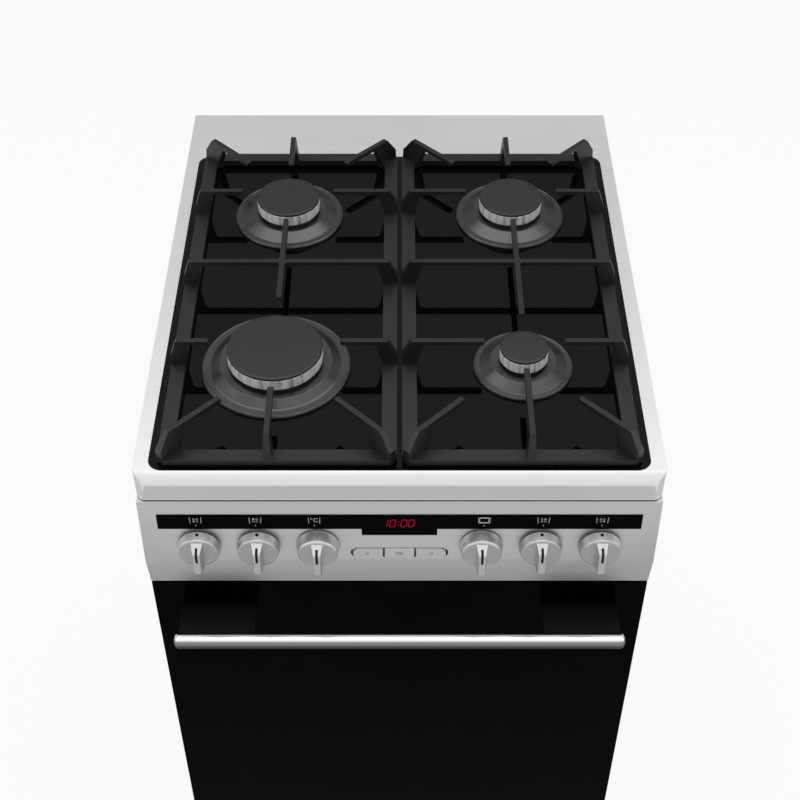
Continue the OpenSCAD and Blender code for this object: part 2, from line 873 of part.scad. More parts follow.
module control_panel() {
    place() color(satin) difference() {
        across(2 * panel_half) panel_side(0, 0);
        across(2 * (panel_half - panel_t)) panel_side(panel_t, over);
        for (x = [-knob_x1, -knob_x2, knob_x2, knob_x1]) on_panel(x, knob_s)
            translate([0, 0, -2 * panel_t]) cylinder(h = 4 * panel_t, r = gas_shaft_r + shaft_hole);
        for (x = [-knob_x3, knob_x3]) on_panel(x, knob_s)
            translate([0, 0, -2 * panel_t]) cylinder(h = 4 * panel_t, r = oven_shaft_r + shaft_hole);
        on_panel(0, button_s) translate([0, 0, -2 * panel_t]) linear_extrude(4 * panel_t)
            button_slot(0);
        on_panel(0, clock_s) linear_extrude(4 * panel_t, center = true) square(clock_hole, center = true);
    }
}

module display_strip() {
    place() color(black) on_panel(0, strip_s0) linear_extrude(strip_t) {
        translate([-strip_half, -strip_h]) square([2 * strip_half, strip_h]);
        translate([-tab_half, -strip_h - tab_h]) square([2 * tab_half, tab_h + over]);
    }
}

module clock_module() {
    z1 = -panel_t - module_gap;
    post_h = module_gap + over - thin;
    place() color([0.16, 0.30, 0.22]) on_panel(0, module_s0) {
        translate([-module_half, -module_h, z1 - module_t]) cube([2 * module_half, module_h, module_t]);
        translate([-clock_w / 2, module_s0 - clock_s - clock_h / 2, z1 - over])
            cube([clock_w, clock_h, post_h]);
        for (x = [-module_half + 4, module_half - 4], s = module_posts)
            translate([x, -s, z1 - over]) cylinder(h = post_h, r = 3);
    }
}

// A rotary control of the oven: its case behind the panel and its shaft through it
module rotary_control(x, w) {
    reach = oven_knob_gap + knob_bore - shaft_end;
    on_panel(x, knob_s) {
        translate([-w / 2, -w / 2, -panel_t - control_t]) cube([w, w, control_t - thin]);
        translate([0, 0, -panel_t - over]) cylinder(h = panel_t + over + reach, r = oven_shaft_r);
    }
}

module oven_thermostat() {
    place() color(galvanised) rotary_control(-knob_x3, thermostat_w);
}

module function_switch() {
    place() color([0.90, 0.88, 0.80]) rotary_control(knob_x3, switch_w);
}

module side_panel() {
    difference() {
        box([flange_x, frame_back, side_z0], [side_out, side_y1, side_z1]);
        box([flange_x - over, frame_back + sheet_t, side_z0 - over],
            [side_in, side_y1 - sheet_t, side_z1 - sheet_t]);
        for (i = [0 : screw_rows - 1]) rear_screw_at(i) rotate([-90, 0, 0])
            translate([0, 0, -5]) cylinder(h = 10, r = screw_r + thin);
    }
}

module side_panel_right() {
    place() color(galvanised) side_panel();
}

module side_panel_left() {
    place() color(galvanised) mirror([1, 0, 0]) side_panel();
}

// Children at one of the rear panel's screws on the right side
module rear_screw_at(i) {
    translate([screw_x, side_y1, screw_z0 + (screw_z1 - screw_z0) * i / (screw_rows - 1)]) children();
}

module rear_panel() {
    place() color(galvanised) difference() {
        box([-side_out, side_y1, side_z0], [side_out, back_y, sheet_z - rear_drop]);
        both_sides() for (i = [0 : screw_rows - 1]) rear_screw_at(i) rotate([-90, 0, 0])
            translate([0, 0, -5]) cylinder(h = 10, r = screw_r + thin);
        translate([inlet_x, side_y1 - over, inlet_z]) rotate([-90, 0, 0])
            cylinder(h = sheet_t + 2 * over, r = inlet_hole_r);
        for (i = [0 : louvre_cols - 1], j = [0 : louvre_rows - 1]) translate([
            louvre_pitch.x * (i - (louvre_cols - 1) / 2) - louvre.x / 2, side_y1 - over,
            body_h - louvre_down - louvre_pitch.y * j
        ]) cube([louvre.x, sheet_t + 2 * over, louvre.y]);
        both_sides() bracket_hole(side_y1);
    }
}

// A hole for the bracket that ties the cooker to the wall
module bracket_hole(y) {
    translate([bracket_half, y - over, side_z0 + bracket_up]) rotate([-90, 0, 0])
        cylinder(h = 6, r = bracket_r);
}

module base_frame() {
    x1 = base_x;
    y1 = base_in_y1;
    guide_x = drawer_box_half + guide_gap;
    place() color(galvanised) difference() {
        union() {
            both_sides() {
                box([x1 - base_w, base_y0, base_z], [x1, base_y1, side_z0]);
                box([x1 - base_t, base_in_y0, base_z], [x1, y1, runner_top]);
                box([drawer_box_half - runner_w, base_in_y0, runner_top - base_t], [x1, y1, runner_top]);
                box([guide_x, base_in_y0, runner_top - base_t],
                    [guide_x + guide_t, y1 - guide_end, runner_top + guide_h]);
                for (y = [foot_y0, foot_y1]) translate([foot_x, y, base_z])
                    cylinder(h = base_t + foot_boss_h, r = foot_boss_r);
            }
            box([-x1, base_y0, base_z], [x1, base_y0 + base_w, side_z0]);
            box([-x1, base_y0, base_z], [x1, base_y0 + base_t, runner_top - base_lip_drop]);
            box([-x1, base_y1 - base_w, base_z], [x1, base_y1, side_z0]);
            box([-x1, y1 - base_t, base_z], [x1, y1, runner_top]);
        }
        both_sides() for (y = [foot_y0, foot_y1]) translate([foot_x, y, base_z - over])
            cylinder(h = base_h, r = foot_screw_r + run_gap);
        both_sides() bracket_hole(y1 - base_t);
    }
}

module front_frame() {
    place() color(enamel) difference() {
        union() {
            box([-side_out, frame_y, runner_top + thin], [side_out, frame_back, panel_z0]);
            box([seat_gap - flange_x, frame_y, panel_z0 - sheet_t],
                [flange_x - seat_gap, frame_back + frame_top_depth, panel_z0]);
            both_sides() box([flange_x, frame_y, panel_z0 - over],
                [side_out, frame_back, panel_z1 - frame_top_gap]);
        }
        box([-drawer_open_x, frame_y - over, 0],
            [drawer_open_x, frame_back + over, drawer_z1 - drawer_open_gap]);
        box([-oven_half, frame_y - over, oven_z], [oven_half, frame_back + over, oven_z1]);
        both_sides() box(
            [hinge_x - hinge_slot / 2, frame_y - over, hinge_z - arm_h / 2 - seat_gap],
            [hinge_x + hinge_slot / 2, frame_back + over, hinge_z + arm_h / 2 + over]
        );
    }
}

module oven_cavity() {
    t = sheet_t;
    place() color(enamel) difference() {
        union() {
            box([-oven_half - t, oven_y0, oven_z - t], [oven_half + t, oven_y1 + t, oven_z1 + t]);
            box([-oven_half - oven_flange, oven_y0, oven_z - oven_flange],
                [oven_half + oven_flange, oven_y0 + t, oven_z1 + oven_flange]);
        }
        box([-oven_half, oven_y0 - over, oven_z], [oven_half, oven_y1, oven_z1]);
        translate([lamp_x, oven_y1 - over, oven_z1 - lamp_down]) rotate([-90, 0, 0])
            cylinder(h = sheet_t + 2 * over, r = lamp_hole_r);
    }
}

module insulation() {
    e = sheet_t + wool_gap;
    y0 = oven_y0 + sheet_t + wool_gap;
    place() color([0.86, 0.84, 0.70]) difference() {
        box([-oven_half - e - wool_t, y0, oven_z - e - under_gap - wool_t / 2],
            [oven_half + e + wool_t, oven_y1 + e + wool_t, oven_z1 + e + wool_t]);
        box([-oven_half - e, y0 - over, oven_z - e - under_gap],
            [oven_half + e, oven_y1 + e, oven_z1 + e]);
        translate([lamp_x, oven_y1 - over, oven_z1 - lamp_down]) rotate([-90, 0, 0])
            cylinder(h = wool_t + 4 * over, r = lamp_hole_r + over);
    }
}

// A half turn of a heating element in its flat plane
module element_bend(x, y, z, r, front) {
    translate([x, y, z]) rotate([0, 0, front ? 180 : 0]) rotate_extrude(angle = 180)
        translate([r, 0]) circle(r = element_r);
}

// A flat heating element that runs to and fro along Y, with bends of half the pitch
module flat_element(n, pitch, y0, y1, y_end, z) {
    for (i = [0 : n - 1]) {
        x = (i - (n - 1) / 2) * pitch;
        outer = i == 0 || i == n - 1;
        rod([x, y0, z], [x, outer ? y_end : y1, z], element_r);
    }
    for (i = [0 : n - 2]) {
        x = (i - (n - 2) / 2) * pitch;
        front = i % 2 == 0;
        element_bend(x, front ? y0 : y1, z, pitch / 2, front);
    }
}

module grill_element() {
    y_end = oven_y1 - grill_plate_t - thin;
    plate_x = grill_pitch * (element_runs - 1) / 2 + grill_plate.x;
    place() color([0.30, 0.28, 0.27]) {
        flat_element(element_runs, grill_pitch, oven_y0 + 1.5 * grill_in, oven_y1 - grill_in, y_end + over,
            grill_z);
        box([-plate_x, y_end, grill_z - grill_plate.y], [plate_x, oven_y1 - thin, grill_z + grill_plate.y]);
    }
}

module bottom_element() {
    place() color([0.30, 0.28, 0.27])
        flat_element(element_runs, bottom_pitch, oven_y0 + bottom_in, oven_y1 - bottom_in,
            oven_y1 - bottom_end, bottom_element_z);
}

module oven_lamp() {
    place() color([0.95, 0.94, 0.88]) translate([lamp_x, oven_y1, oven_z1 - lamp_down])
        rotate([90, 0, 0]) rotate_extrude() polygon([
            [0, 2 - wool_t], [lamp_hole_r - seat_gap, 2 - wool_t], [lamp_hole_r - seat_gap, thin],
            [lamp_r + 4, thin], [lamp_r + 4, 5], [lamp_r - 2, 10], [lamp_r - 10, 14], [0, 16]
        ]);
}

module shelf_rails() {
    place() color(silver) both_sides() {
        for (y = [rack_y0 + rack_post_in, rack_y1 - rack_post_in])
            rod([rack_post_x, y, rack_post_z0], [rack_post_x, y, rack_post_z1], rack_post_r);
        for (h = rack_levels, dz = [0, rack_pitch])
            rod([rack_x, rack_y0, oven_z + h + dz], [rack_x, rack_y1, oven_z + h + dz], rack_r);
    }
}

module door_seal() {
    place() color([0.25, 0.25, 0.25]) difference() {
        box([-oven_half - seal_in - seal_w, door_back + seat_gap, oven_z - seal_in - seal_w],
            [oven_half + seal_in + seal_w, frame_y, oven_z1 + seal_in + seal_w]);
        box([-oven_half - seal_in, door_back, oven_z - seal_in],
            [oven_half + seal_in, frame_y + over, oven_z1 + seal_in]);
    }
}

module hinge_arms() {
    place() color(galvanised) both_sides() translate([hinge_x, hinge_y, hinge_z]) {
        rod([-case_half, 0, 0], [case_half, 0, 0], hinge_pin_r);
        rod([-arm_t / 2, 0, 0], [arm_t / 2, 0, 0], arm_eye);
        box([-arm_t / 2, 0, -arm_h / 2], [arm_t / 2, arm_len, arm_h / 2]);
        box([-arm_t / 2, frame_back - hinge_y + seat_gap, -arm_h],
            [arm_t / 2, frame_back - hinge_y + hook_t, 0]);
    }
}

module terminal_box() {
    x1 = hw - terminal_in;
    x = x1 - terminal_w / 2;
    y = back_y + terminal_t / 2;
    place() color([0.20, 0.20, 0.21]) {
        box([x1 - terminal_w, back_y, terminal_up], [x1, back_y + terminal_t, terminal_up + terminal_h]);
        rod([x, y, terminal_up - gland_len], [x, y, terminal_up + over], gland_r);
    }
}

module spark_generator() {
    x0 = spark_in - hw;
    z1 = body_h - spark_down;
    place() color([0.85, 0.85, 0.83])
        box([x0, side_y1 - spark_t, z1 - spark_h], [x0 + spark_w, side_y1, z1]);
}

module panel_screws() {
    place() color(silver) both_sides() for (i = [0 : screw_rows - 1]) rear_screw_at(i)
        rotate([-90, 0, 0]) {
            translate([0, 0, sheet_t]) cylinder(h = screw_head_h, r = screw_head_r);
            translate([0, 0, sheet_t - screw_len]) cylinder(h = screw_len + over, r = screw_r);
        }
}

module levelling_feet() {
    place() color(black) both_sides() for (y = [foot_y0, foot_y1]) translate([foot_x, y, 0]) {
        cylinder(h = foot_h - foot_step.x, r = foot_r);
        cylinder(h = foot_h, r = foot_r - foot_step.y);
        cylinder(h = foot_screw_len, r = foot_screw_r);
    }
}

module door_outer_glass() {
    place() color(black) translate([0, glass_t, 0]) rotate([90, 0, 0]) linear_extrude(glass_t)
        round_rect([-door_half, door_z], [door_half, door_z1], door_corner);
}

module door_inner_glass() {
    place() color([0.25, 0.22, 0.20]) box(
        [-door_half + inner_glass_in, door_frame_back, inner_glass_z0],
        [door_half - inner_glass_in, door_back, inner_glass_z1]
    );
}

module door_frame() {
    x1 = door_half - door_inset;
    z0 = door_z + door_inset / 2;
    z1 = door_z1 - door_inset;
    s = door_skin;
    window_x = oven_half - window_in;
    place() color(enamel) difference() {
        box([-x1, glass_t, z0], [x1, door_frame_back, z1]);
        box([-x1 + s, glass_t - over, z0 + s], [x1 - s, door_frame_back - s, z1 - s]);
        box([-window_x, glass_t, oven_z + window_down], [window_x, door_back, oven_z1 - window_down]);
        both_sides() box([hinge_x - arm_t / 2 - arm_side, glass_t - over, door_z - over],
            [hinge_x + arm_t / 2 + arm_side, door_back, hinge_z + arm_h / 2 + arm_over]);
    }
}

module door_handle() {
    place() color(steel)
        rod([-handle_half, -handle_out, handle_z], [handle_half, -handle_out, handle_z], handle_r);
}

module handle_brackets() {
    place() color(black) difference() {
        both_sides() box([bracket_x - bracket_w, -handle_out, handle_z - bracket_t / 2],
            [bracket_x, 0, handle_z + bracket_t / 2]);
        rod([-hw, -handle_out, handle_z], [hw, -handle_out, handle_z], handle_r + thin / 2);
    }
}

module hinge_cases() {
    z0 = door_z + door_inset / 2 + door_skin;
    place() color(galvanised) both_sides() difference() {
        box([hinge_x - case_half, glass_t + thin, z0],
            [hinge_x + case_half, door_frame_back - door_skin, z0 + case_h]);
        box([hinge_x - arm_t / 2 - arm_side, glass_t - over, z0 - over],
            [hinge_x + arm_t / 2 + arm_side, door_back, hinge_z + arm_h / 2 + arm_over]);
        rod([hinge_x - 2 * case_half, hinge_y, hinge_z], [hinge_x + 2 * case_half, hinge_y, hinge_z],
            hinge_pin_r + run_gap);
    }
}

module drawer_front() {
    x1 = drawer_half;
    s = drawer_skin;
    place() color(satin) difference() {
        box([-x1, 0, drawer_z], [x1, drawer_t, drawer_z1]);
        box([-x1 + s, s, drawer_z + s], [x1 - s, drawer_t + over, drawer_z1 - s]);
    }
}

module drawer_box() {
    s = sheet_t;
    x1 = drawer_box_half;
    z0 = drawer_box_z;
    place() color(galvanised) difference() {
        box([-x1, drawer_skin, z0], [x1, drawer_t + drawer_d, z0 + drawer_h]);
        box([-x1 + s, drawer_skin + s, z0 + s], [x1 - s, drawer_t + drawer_d - s, z0 + drawer_h + over]);
    }
}

module wire_shelf() {
    z = oven_z + level_high + rack_r + shelf_r + seat_gap;
    x1 = shelf_x;
    place() color(silver) {
        for (s = [-1, 1]) rod([s * x1, shelf_y0, z], [s * x1, shelf_y1, z], shelf_r);
        for (y = [shelf_y0 + shelf_r, shelf_y1 - shelf_r]) rod([-x1, y, z], [x1, y, z], shelf_r - 0.4);
        for (i = [1 : shelf_bars]) {
            x = -x1 + 2 * x1 * i / (shelf_bars + 1);
            rod([x, shelf_y0 + 2, z], [x, shelf_y1 - 2, z], shelf_bar_r);
        }
    }
}

module baking_tray() {
    z1 = oven_z + level_low + rack_r + seat_gap;
    x1 = tray_half;
    place() color(enamel) difference() {
        union() {
            translate([0, 0, z1 - tray_h]) linear_extrude(tray_h + tray_t)
                round_rect([-x1, shelf_y0 + tray_flange_y], [x1, shelf_y1 - tray_flange_y], tray_r);
            translate([0, 0, z1]) linear_extrude(tray_t)
                round_rect([-tray_flange_x, shelf_y0], [tray_flange_x, shelf_y1], tray_r);
        }
        translate([0, 0, z1 - tray_h + tray_t]) linear_extrude(tray_h + over) round_rect(
            [-x1 + tray_t, shelf_y0 + tray_flange_y + tray_t],
            [x1 - tray_t, shelf_y1 - tray_flange_y - tray_t], tray_r - tray_t
        );
    }
}

// A rectangle with cut corners between two corner points
module cut_rect(p, q, c) {
    polygon([
        [p.x + c, p.y], [q.x - c, p.y], [q.x, p.y + c], [q.x, q.y - c],
        [q.x - c, q.y], [p.x + c, q.y], [p.x, q.y - c], [p.x, p.y + c]
    ]);
}

// The section of a bar at the grate's top, which widens downwards to the height z
module bar_section(z) {
    half = finger_t / 2 + leg_draft * (grate_top - z);
    polygon([[-finger_t / 2, grate_top], [finger_t / 2, grate_top], [half, z], [-half, z]]);
}

// One finger from its knee above the rail to its tip, both given in plan. Its leg is w wide at
// the top and reaches from lean outside the knee to foot inside it at the rail.
module finger(knee, tip, w, lean, foot) {
    d = tip - knee;
    l = norm(d);
    translate([knee.x, knee.y, 0]) rotate([0, 0, atan2(d.y, d.x)]) intersection() {
        rotate([90, 0, 0]) linear_extrude(3 * finger_t, center = true) polygon([
            [-lean, rail_z0 + over], [-lean, leg_break_z], [0, grate_top - over], [over, grate_top],
            [l - over, grate_top], [l, grate_top - over], [l - tip_lean, web_z],
            [w + leg_fillet, web_z], [w, web_z - leg_fillet], [foot, rail_z1 - over],
            [foot, rail_z0 + over]
        ]);
        rotate([90, 0, 90]) translate([0, 0, -lean - over]) linear_extrude(lean + l + 2 * over)
            bar_section(rail_z0);
    }
}

module straight_finger(knee, tip, lean) {
    finger(knee, tip, leg_w, lean, rail_w - lean);
}

// A finger from a corner: a is the knee's distance from the grate's two edges
module corner_finger(a, corner, turn) {
    knee = corner + [turn.x * a.x, turn.y * a.y];
    finger(knee, knee + diag_l / sqrt(2) * turn, diag_leg_w,
        (a.x + a.y - grate_corner) / sqrt(2) - leg_inset, diag_foot_w);
}

// A right-hand grate. Its front burner sets where the front fingers end.
module grate(front_tip) {
    bar_front_tip = burner_front_y + front_tip;
    place() color(iron) {
        difference() {
            translate([0, 0, rail_z0]) linear_extrude(rail_h)
                cut_rect([grate_in, grate_y0], [grate_out, grate_y1], grate_corner);
            translate([0, 0, rail_z0 - over]) linear_extrude(rail_h + 2 * over) cut_rect(
                [grate_in + rail_w, grate_y0 + rail_w], [grate_out - rail_w, grate_y1 - rail_w],
                grate_inner_corner
            );
        }
        straight_finger([knee_out, cross_y], [knee_in + leg_w, cross_y], side_lean);
        straight_finger([knee_in, cross_y], [knee_out - leg_w, cross_y], leg_lean);
        for (row = [[burner_rear_y, tip_mid], [burner_front_y, front_tip]]) {
            straight_finger([knee_out, row[0]], [burner_x + row[1], row[0]], side_lean);
            straight_finger([knee_in, row[0]], [burner_x - row[1], row[0]], leg_lean);
        }
        straight_finger([bar_x, knee_y1], [bar_x, centre_finger_rear], rear_lean);
        straight_finger([bar_x, knee_y0], [bar_x, burner_front_y - front_tip], leg_lean);
        translate([bar_x, bar_rear_tip, 0]) rotate([90, 0, 0])
            linear_extrude(bar_rear_tip - bar_front_tip) bar_section(web_z);
        corner_finger([diag_out, diag_front], [grate_out, grate_y0], [-1, 1]);
        corner_finger([diag_in, diag_front], [grate_in, grate_y0], [1, 1]);
        corner_finger([diag_out, diag_rear], [grate_out, grate_y1], [-1, -1]);
        corner_finger([diag_in, diag_rear], [grate_in, grate_y1], [1, -1]);
        for (x = [grate_in + rail_w / 2, grate_out - rail_w / 2],
             y = [grate_y0 + rail_w / 2, cross_y, grate_y1 - rail_w / 2])
            translate([x, y, plate_top]) cylinder(h = grate_foot_h + over, r = foot_pad_r);
    }
}

module grate_right() {
    grate(tip_small);
}

module grate_left() {
    mirror([1, 0, 0]) grate(tip_large);
}

// A knob with its grip upright: a disc of height h with a leaning face, and a bore from behind
module knob(gap, h, shaft_r) {
    grip_z = h + knob_grip;
    rim_z = h + grip_up * tan(knob_lean);
    cone_h = h + knob_r * tan(knob_lean) + over;
    translate([0, 0, gap]) difference() {
        union() {
            difference() {
                cylinder(h = cone_h, r1 = knob_r, r2 = knob_r - (knob_r - knob_face_r) * cone_h / h, $fn = 96);
                translate([0, 0, h]) rotate([knob_lean, 0, 0])
                    translate([-2 * knob_r, -2 * knob_r, 0]) cube(4 * knob_r);
            }
            intersection() {
                rotate([90, 0, 0]) linear_extrude(4 * knob_r, center = true) polygon([
                    [-grip_w / 2 - grip_flare, 0], [grip_w / 2 + grip_flare, 0],
                    [grip_w / 2, grip_z - over], [grip_w / 2 - over, grip_z],
                    [over - grip_w / 2, grip_z], [-grip_w / 2, grip_z - over]
                ]);
                rotate([90, 0, 90]) linear_extrude(4 * grip_w, center = true) polygon([
                    [over - grip_down, over], [grip_up, over], [grip_up, rim_z],
                    [grip_knee, grip_z - edge_cut], [grip_knee - over, grip_z],
                    [over - grip_down, grip_z], [-grip_down, grip_z - over]
                ]);
            }
        }
        translate([0, 0, -over]) cylinder(h = knob_bore + over, r = shaft_r + run_gap);
    }
}

module gas_knob(x) {
    place() color(satin) on_panel(x, knob_s) knob(gas_knob_gap, gas_disc, gas_shaft_r);
}

module oven_knob(x) {
    place() color(satin) on_panel(x, knob_s) knob(oven_knob_gap, oven_disc, oven_shaft_r);
}

module knob_front_left() { gas_knob(-knob_x1); }
module knob_rear_left() { gas_knob(-knob_x2); }
module knob_temperature() { oven_knob(-knob_x3); }
module knob_function() { oven_knob(knob_x3); }
module knob_rear_right() { gas_knob(knob_x2); }
module knob_front_right() { gas_knob(knob_x1); }

// A tap's spindle, which slides in the tap and carries its knob
module gas_spindle(x) {
    inside = tap_back - tap_floor - gas_push - over;
    place() color(brass) on_panel(x, knob_s) translate([0, 0, -inside])
        cylinder(h = inside + gas_knob_gap + knob_bore - shaft_end, r = gas_shaft_r);
}

module spindle_front_left() { gas_spindle(-knob_x1); }
module spindle_rear_left() { gas_spindle(-knob_x2); }
module spindle_rear_right() { gas_spindle(knob_x2); }
module spindle_front_right() { gas_spindle(knob_x1); }

// One button of the row, between two distances from the middle line
module button(x0, x1) {
    h = button_h / 2 + button_lap;
    place() color(satin) on_panel(0, button_s) {
        translate([0, 0, -panel_t - button_flange]) linear_extrude(panel_t + button_flange + button_proud)
            intersection() {
                button_slot(button_gap);
                translate([x0, -button_h]) square([x1 - x0, 2 * button_h]);
            }
        translate([x0, -h, -panel_t - button_flange]) cube([x1 - x0, 2 * h, button_flange - seat_gap]);
        translate([(x0 + x1 - button_stem) / 2, -button_stem / 2, -panel_t - button_flange - button_back])
            cube([button_stem, button_stem, button_back + thin]);
    }
}

module button_down() { button(-button_end, -button_edge); }
module button_ok() { button(-button_mid, button_mid); }
module button_up() { button(button_edge, button_end); }

hob_surround();
hob_plate();
burner_cups();
clamp_rings();
gas_jets();
burner_skirts();
burner_crowns();
burner_caps();
spark_electrodes();
thermocouples();
gas_manifold();
gas_taps();
burner_pipes();
control_panel();
display_strip();
clock_module();
oven_thermostat();
function_switch();
side_panel_left();
side_panel_right();
rear_panel();
base_frame();
front_frame();
oven_cavity();
insulation();
grill_element();
bottom_element();
oven_lamp();
shelf_rails();
door_seal();
hinge_arms();
terminal_box();
spark_generator();
panel_screws();
levelling_feet();
door_outer_glass();
door_inner_glass();
door_frame();
door_handle();
handle_brackets();
hinge_cases();
drawer_front();
drawer_box();
wire_shelf();
baking_tray();
grate_left();
grate_right();
knob_front_left();
knob_rear_left();
knob_temperature();
knob_function();
knob_rear_right();
knob_front_right();
spindle_front_left();
spindle_rear_left();
spindle_rear_right();
spindle_front_right();
button_down();
button_ok();
button_up();
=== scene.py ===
"""Looks of a freestanding gas cooker with an electric oven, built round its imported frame."""
import math

import bpy
from mathutils import Matrix, Vector


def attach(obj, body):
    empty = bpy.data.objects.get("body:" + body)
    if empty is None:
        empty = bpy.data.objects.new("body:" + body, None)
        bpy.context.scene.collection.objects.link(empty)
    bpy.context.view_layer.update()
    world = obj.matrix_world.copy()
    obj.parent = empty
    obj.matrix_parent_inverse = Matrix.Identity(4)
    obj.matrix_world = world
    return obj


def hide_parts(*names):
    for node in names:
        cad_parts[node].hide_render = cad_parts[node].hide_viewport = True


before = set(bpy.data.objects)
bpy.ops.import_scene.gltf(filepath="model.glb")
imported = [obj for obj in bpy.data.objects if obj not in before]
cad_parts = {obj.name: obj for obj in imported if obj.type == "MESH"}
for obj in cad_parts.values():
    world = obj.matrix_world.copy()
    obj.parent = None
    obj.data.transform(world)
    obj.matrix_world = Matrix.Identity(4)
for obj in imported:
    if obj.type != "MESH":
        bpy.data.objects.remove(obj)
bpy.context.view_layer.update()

MM = 0.001
MIDDLE = 275.0  # from the door's face back to the frame's origin
PLATE = 849.0  # the enamelled plate
RIM = 852.8  # the skirts' flat rims
CROWN = 861.5  # the crowns' underside
CROWN_TOP = 873.0
PANEL_TOP = 814.0
PANEL_Y = -0.3
TILT = math.atan(6.2 / 78.5)  # of the panel's upper face
KNOB_S = 56.0  # the knobs' axes below the panel's top
KNOB_X = {"front_left": -194.0, "rear_left": -136.5, "rear_right": 136.5, "front_right": 194.0}
OVEN_KNOB_X = {"temperature": -79.0, "function": 79.0}
LEAN = math.radians(8)  # of the knobs' front faces
KEY_S = 67  # the buttons' middle below the panel's top
HANDLE_Y, HANDLE_Z = -42, 653  # the handle bar's axis
BURNERS = {  # centre, cap radius, skirt radius, number of flame slots
    "rear_left": (-123.5, 398.0, 34.5, 60.5, 36),
    "rear_right": (123.5, 398.0, 34.5, 60.5, 36),
    "front_left": (-123.5, 150.3, 47.5, 75.0, 48),
    "front_right": (123.5, 150.3, 24.0, 50.0, 24),
}
ROUND_SIDES = 128  # of a burner's round forms
SIDES_PER_SLOT = 6
SLOT_DEPTH = 1.6


# ---- Places ----
def at(x, y, z):
    """A point given in mm from the cooker's front, in the frame's metres."""
    return Vector((x, y - MIDDLE, z)) * MM


def panel_place(x, s, out=0.0):
    """The placing of a form whose Y runs up the panel and whose Z points out of it."""
    foot = at(
        x,
        PANEL_Y - s * math.sin(TILT) - out * math.cos(TILT),
        PANEL_TOP - s * math.cos(TILT) + out * math.sin(TILT),
    )
    return Matrix.Translation(foot) @ Matrix.Rotation(math.pi / 2 - TILT, 4, "X")


# ---- Modelling by hand ----
def only(*objects):
    """Selects these objects and nothing else, the first one active."""
    bpy.ops.object.select_all(action="DESELECT")
    for o in objects:
        o.select_set(True)
    bpy.context.view_layer.objects.active = objects[0]


def settle(obj, matrix=None):
    """Puts a form in its place and leaves the object itself at the origin."""
    if matrix is not None:
        obj.matrix_world = matrix @ obj.matrix_world
    only(obj)
    bpy.ops.object.transform_apply(location=True, rotation=True, scale=True)
    return obj


def pick_points(obj, test):
    """Selects the points for which test(point in mm) is true."""
    bpy.ops.object.mode_set(mode="OBJECT")
    for part in (obj.data.polygons, obj.data.edges):
        part.foreach_set("select", [False] * len(part))
    for v in obj.data.vertices:
        v.select = bool(test((obj.matrix_world @ v.co) / MM))
    bpy.ops.object.mode_set(mode="EDIT")
    bpy.ops.mesh.select_mode(type="VERT")


def pick_faces(obj, test):
    """Selects the faces for which test(centre in mm, normal) is true."""
    bpy.ops.object.mode_set(mode="OBJECT")
    for part in (obj.data.vertices, obj.data.edges):
        part.foreach_set("select", [False] * len(part))
    for f in obj.data.polygons:
        f.select = bool(test((obj.matrix_world @ f.center) / MM, f.normal))
    bpy.ops.object.mode_set(mode="EDIT")
    bpy.ops.mesh.select_mode(type="FACE")


def turned(name, sides, rings, closed=False):
    """A form turned round Z through rings of (radius, height) in mm.

    A closed form ends in the ring where it began; otherwise both ends are flat.
    """
    r0, z0 = rings[0]
    bpy.ops.object.select_all(action="DESELECT")
    bpy.ops.mesh.primitive_circle_add(
        vertices=sides,
        radius=r0 * MM,
        fill_type="NOTHING" if closed else "NGON",
        location=(0, 0, z0 * MM),
    )
    obj = bpy.context.object
    obj.name = name
    bpy.ops.object.mode_set(mode="EDIT")
    bpy.ops.mesh.select_mode(type="EDGE" if closed else "FACE")
    bpy.ops.mesh.select_all(action="SELECT")
    for r1, z1 in rings[1:] + ([rings[0]] if closed else []):
        bpy.ops.mesh.extrude_region_move(TRANSFORM_OT_translate={"value": (0, 0, (z1 - z0) * MM)})
        if abs(r1 - r0) > 1e-9:
            bpy.ops.transform.resize(value=(r1 / r0, r1 / r0, 1), center_override=(0, 0, z1 * MM))
        r0, z0 = r1, z1
    bpy.ops.mesh.select_all(action="SELECT")
    bpy.ops.mesh.remove_doubles(threshold=1e-6)
    bpy.ops.mesh.normals_make_consistent(inside=False)
    bpy.ops.object.mode_set(mode="OBJECT")
    return settle(obj)


def outlined(name, points, depth):
    """A flat outline in X and Y, extruded up along Z."""
    bpy.ops.object.select_all(action="DESELECT")
    bpy.ops.mesh.primitive_circle_add(vertices=len(points), radius=MM, fill_type="NGON")
    obj = bpy.context.object
    obj.name = name
    for v, p in zip(obj.data.vertices, points):
        v.co = (p[0] * MM, p[1] * MM, 0)
    bpy.ops.object.mode_set(mode="EDIT")
    bpy.ops.mesh.select_mode(type="FACE")
    bpy.ops.mesh.select_all(action="SELECT")
    bpy.ops.mesh.extrude_region_move(TRANSFORM_OT_translate={"value": (0, 0, depth * MM)})
    bpy.ops.mesh.select_all(action="SELECT")
    bpy.ops.mesh.normals_make_consistent(inside=False)
    bpy.ops.object.mode_set(mode="OBJECT")
    return obj


def block(name, low, high):
    """A cube primitive drawn out between two corners."""
    bpy.ops.object.select_all(action="DESELECT")
    low, high = Vector(low) * MM, Vector(high) * MM
    bpy.ops.mesh.primitive_cube_add(size=1, location=(low + high) / 2)
    obj = bpy.context.object
    obj.name = name
    obj.scale = high - low
    return settle(obj)


def joined(name, parts):
    """Several forms as one piece."""
    only(*parts)
    if len(parts) > 1:
        bpy.ops.object.join()
    parts[0].name = name
    parts[0].data.name = name
    return parts[0]


def apply_all(obj):
    """Applies every modifier of a form."""
    only(obj)
    for m in list(obj.modifiers):
        bpy.ops.object.modifier_apply(modifier=m.name)
    return obj


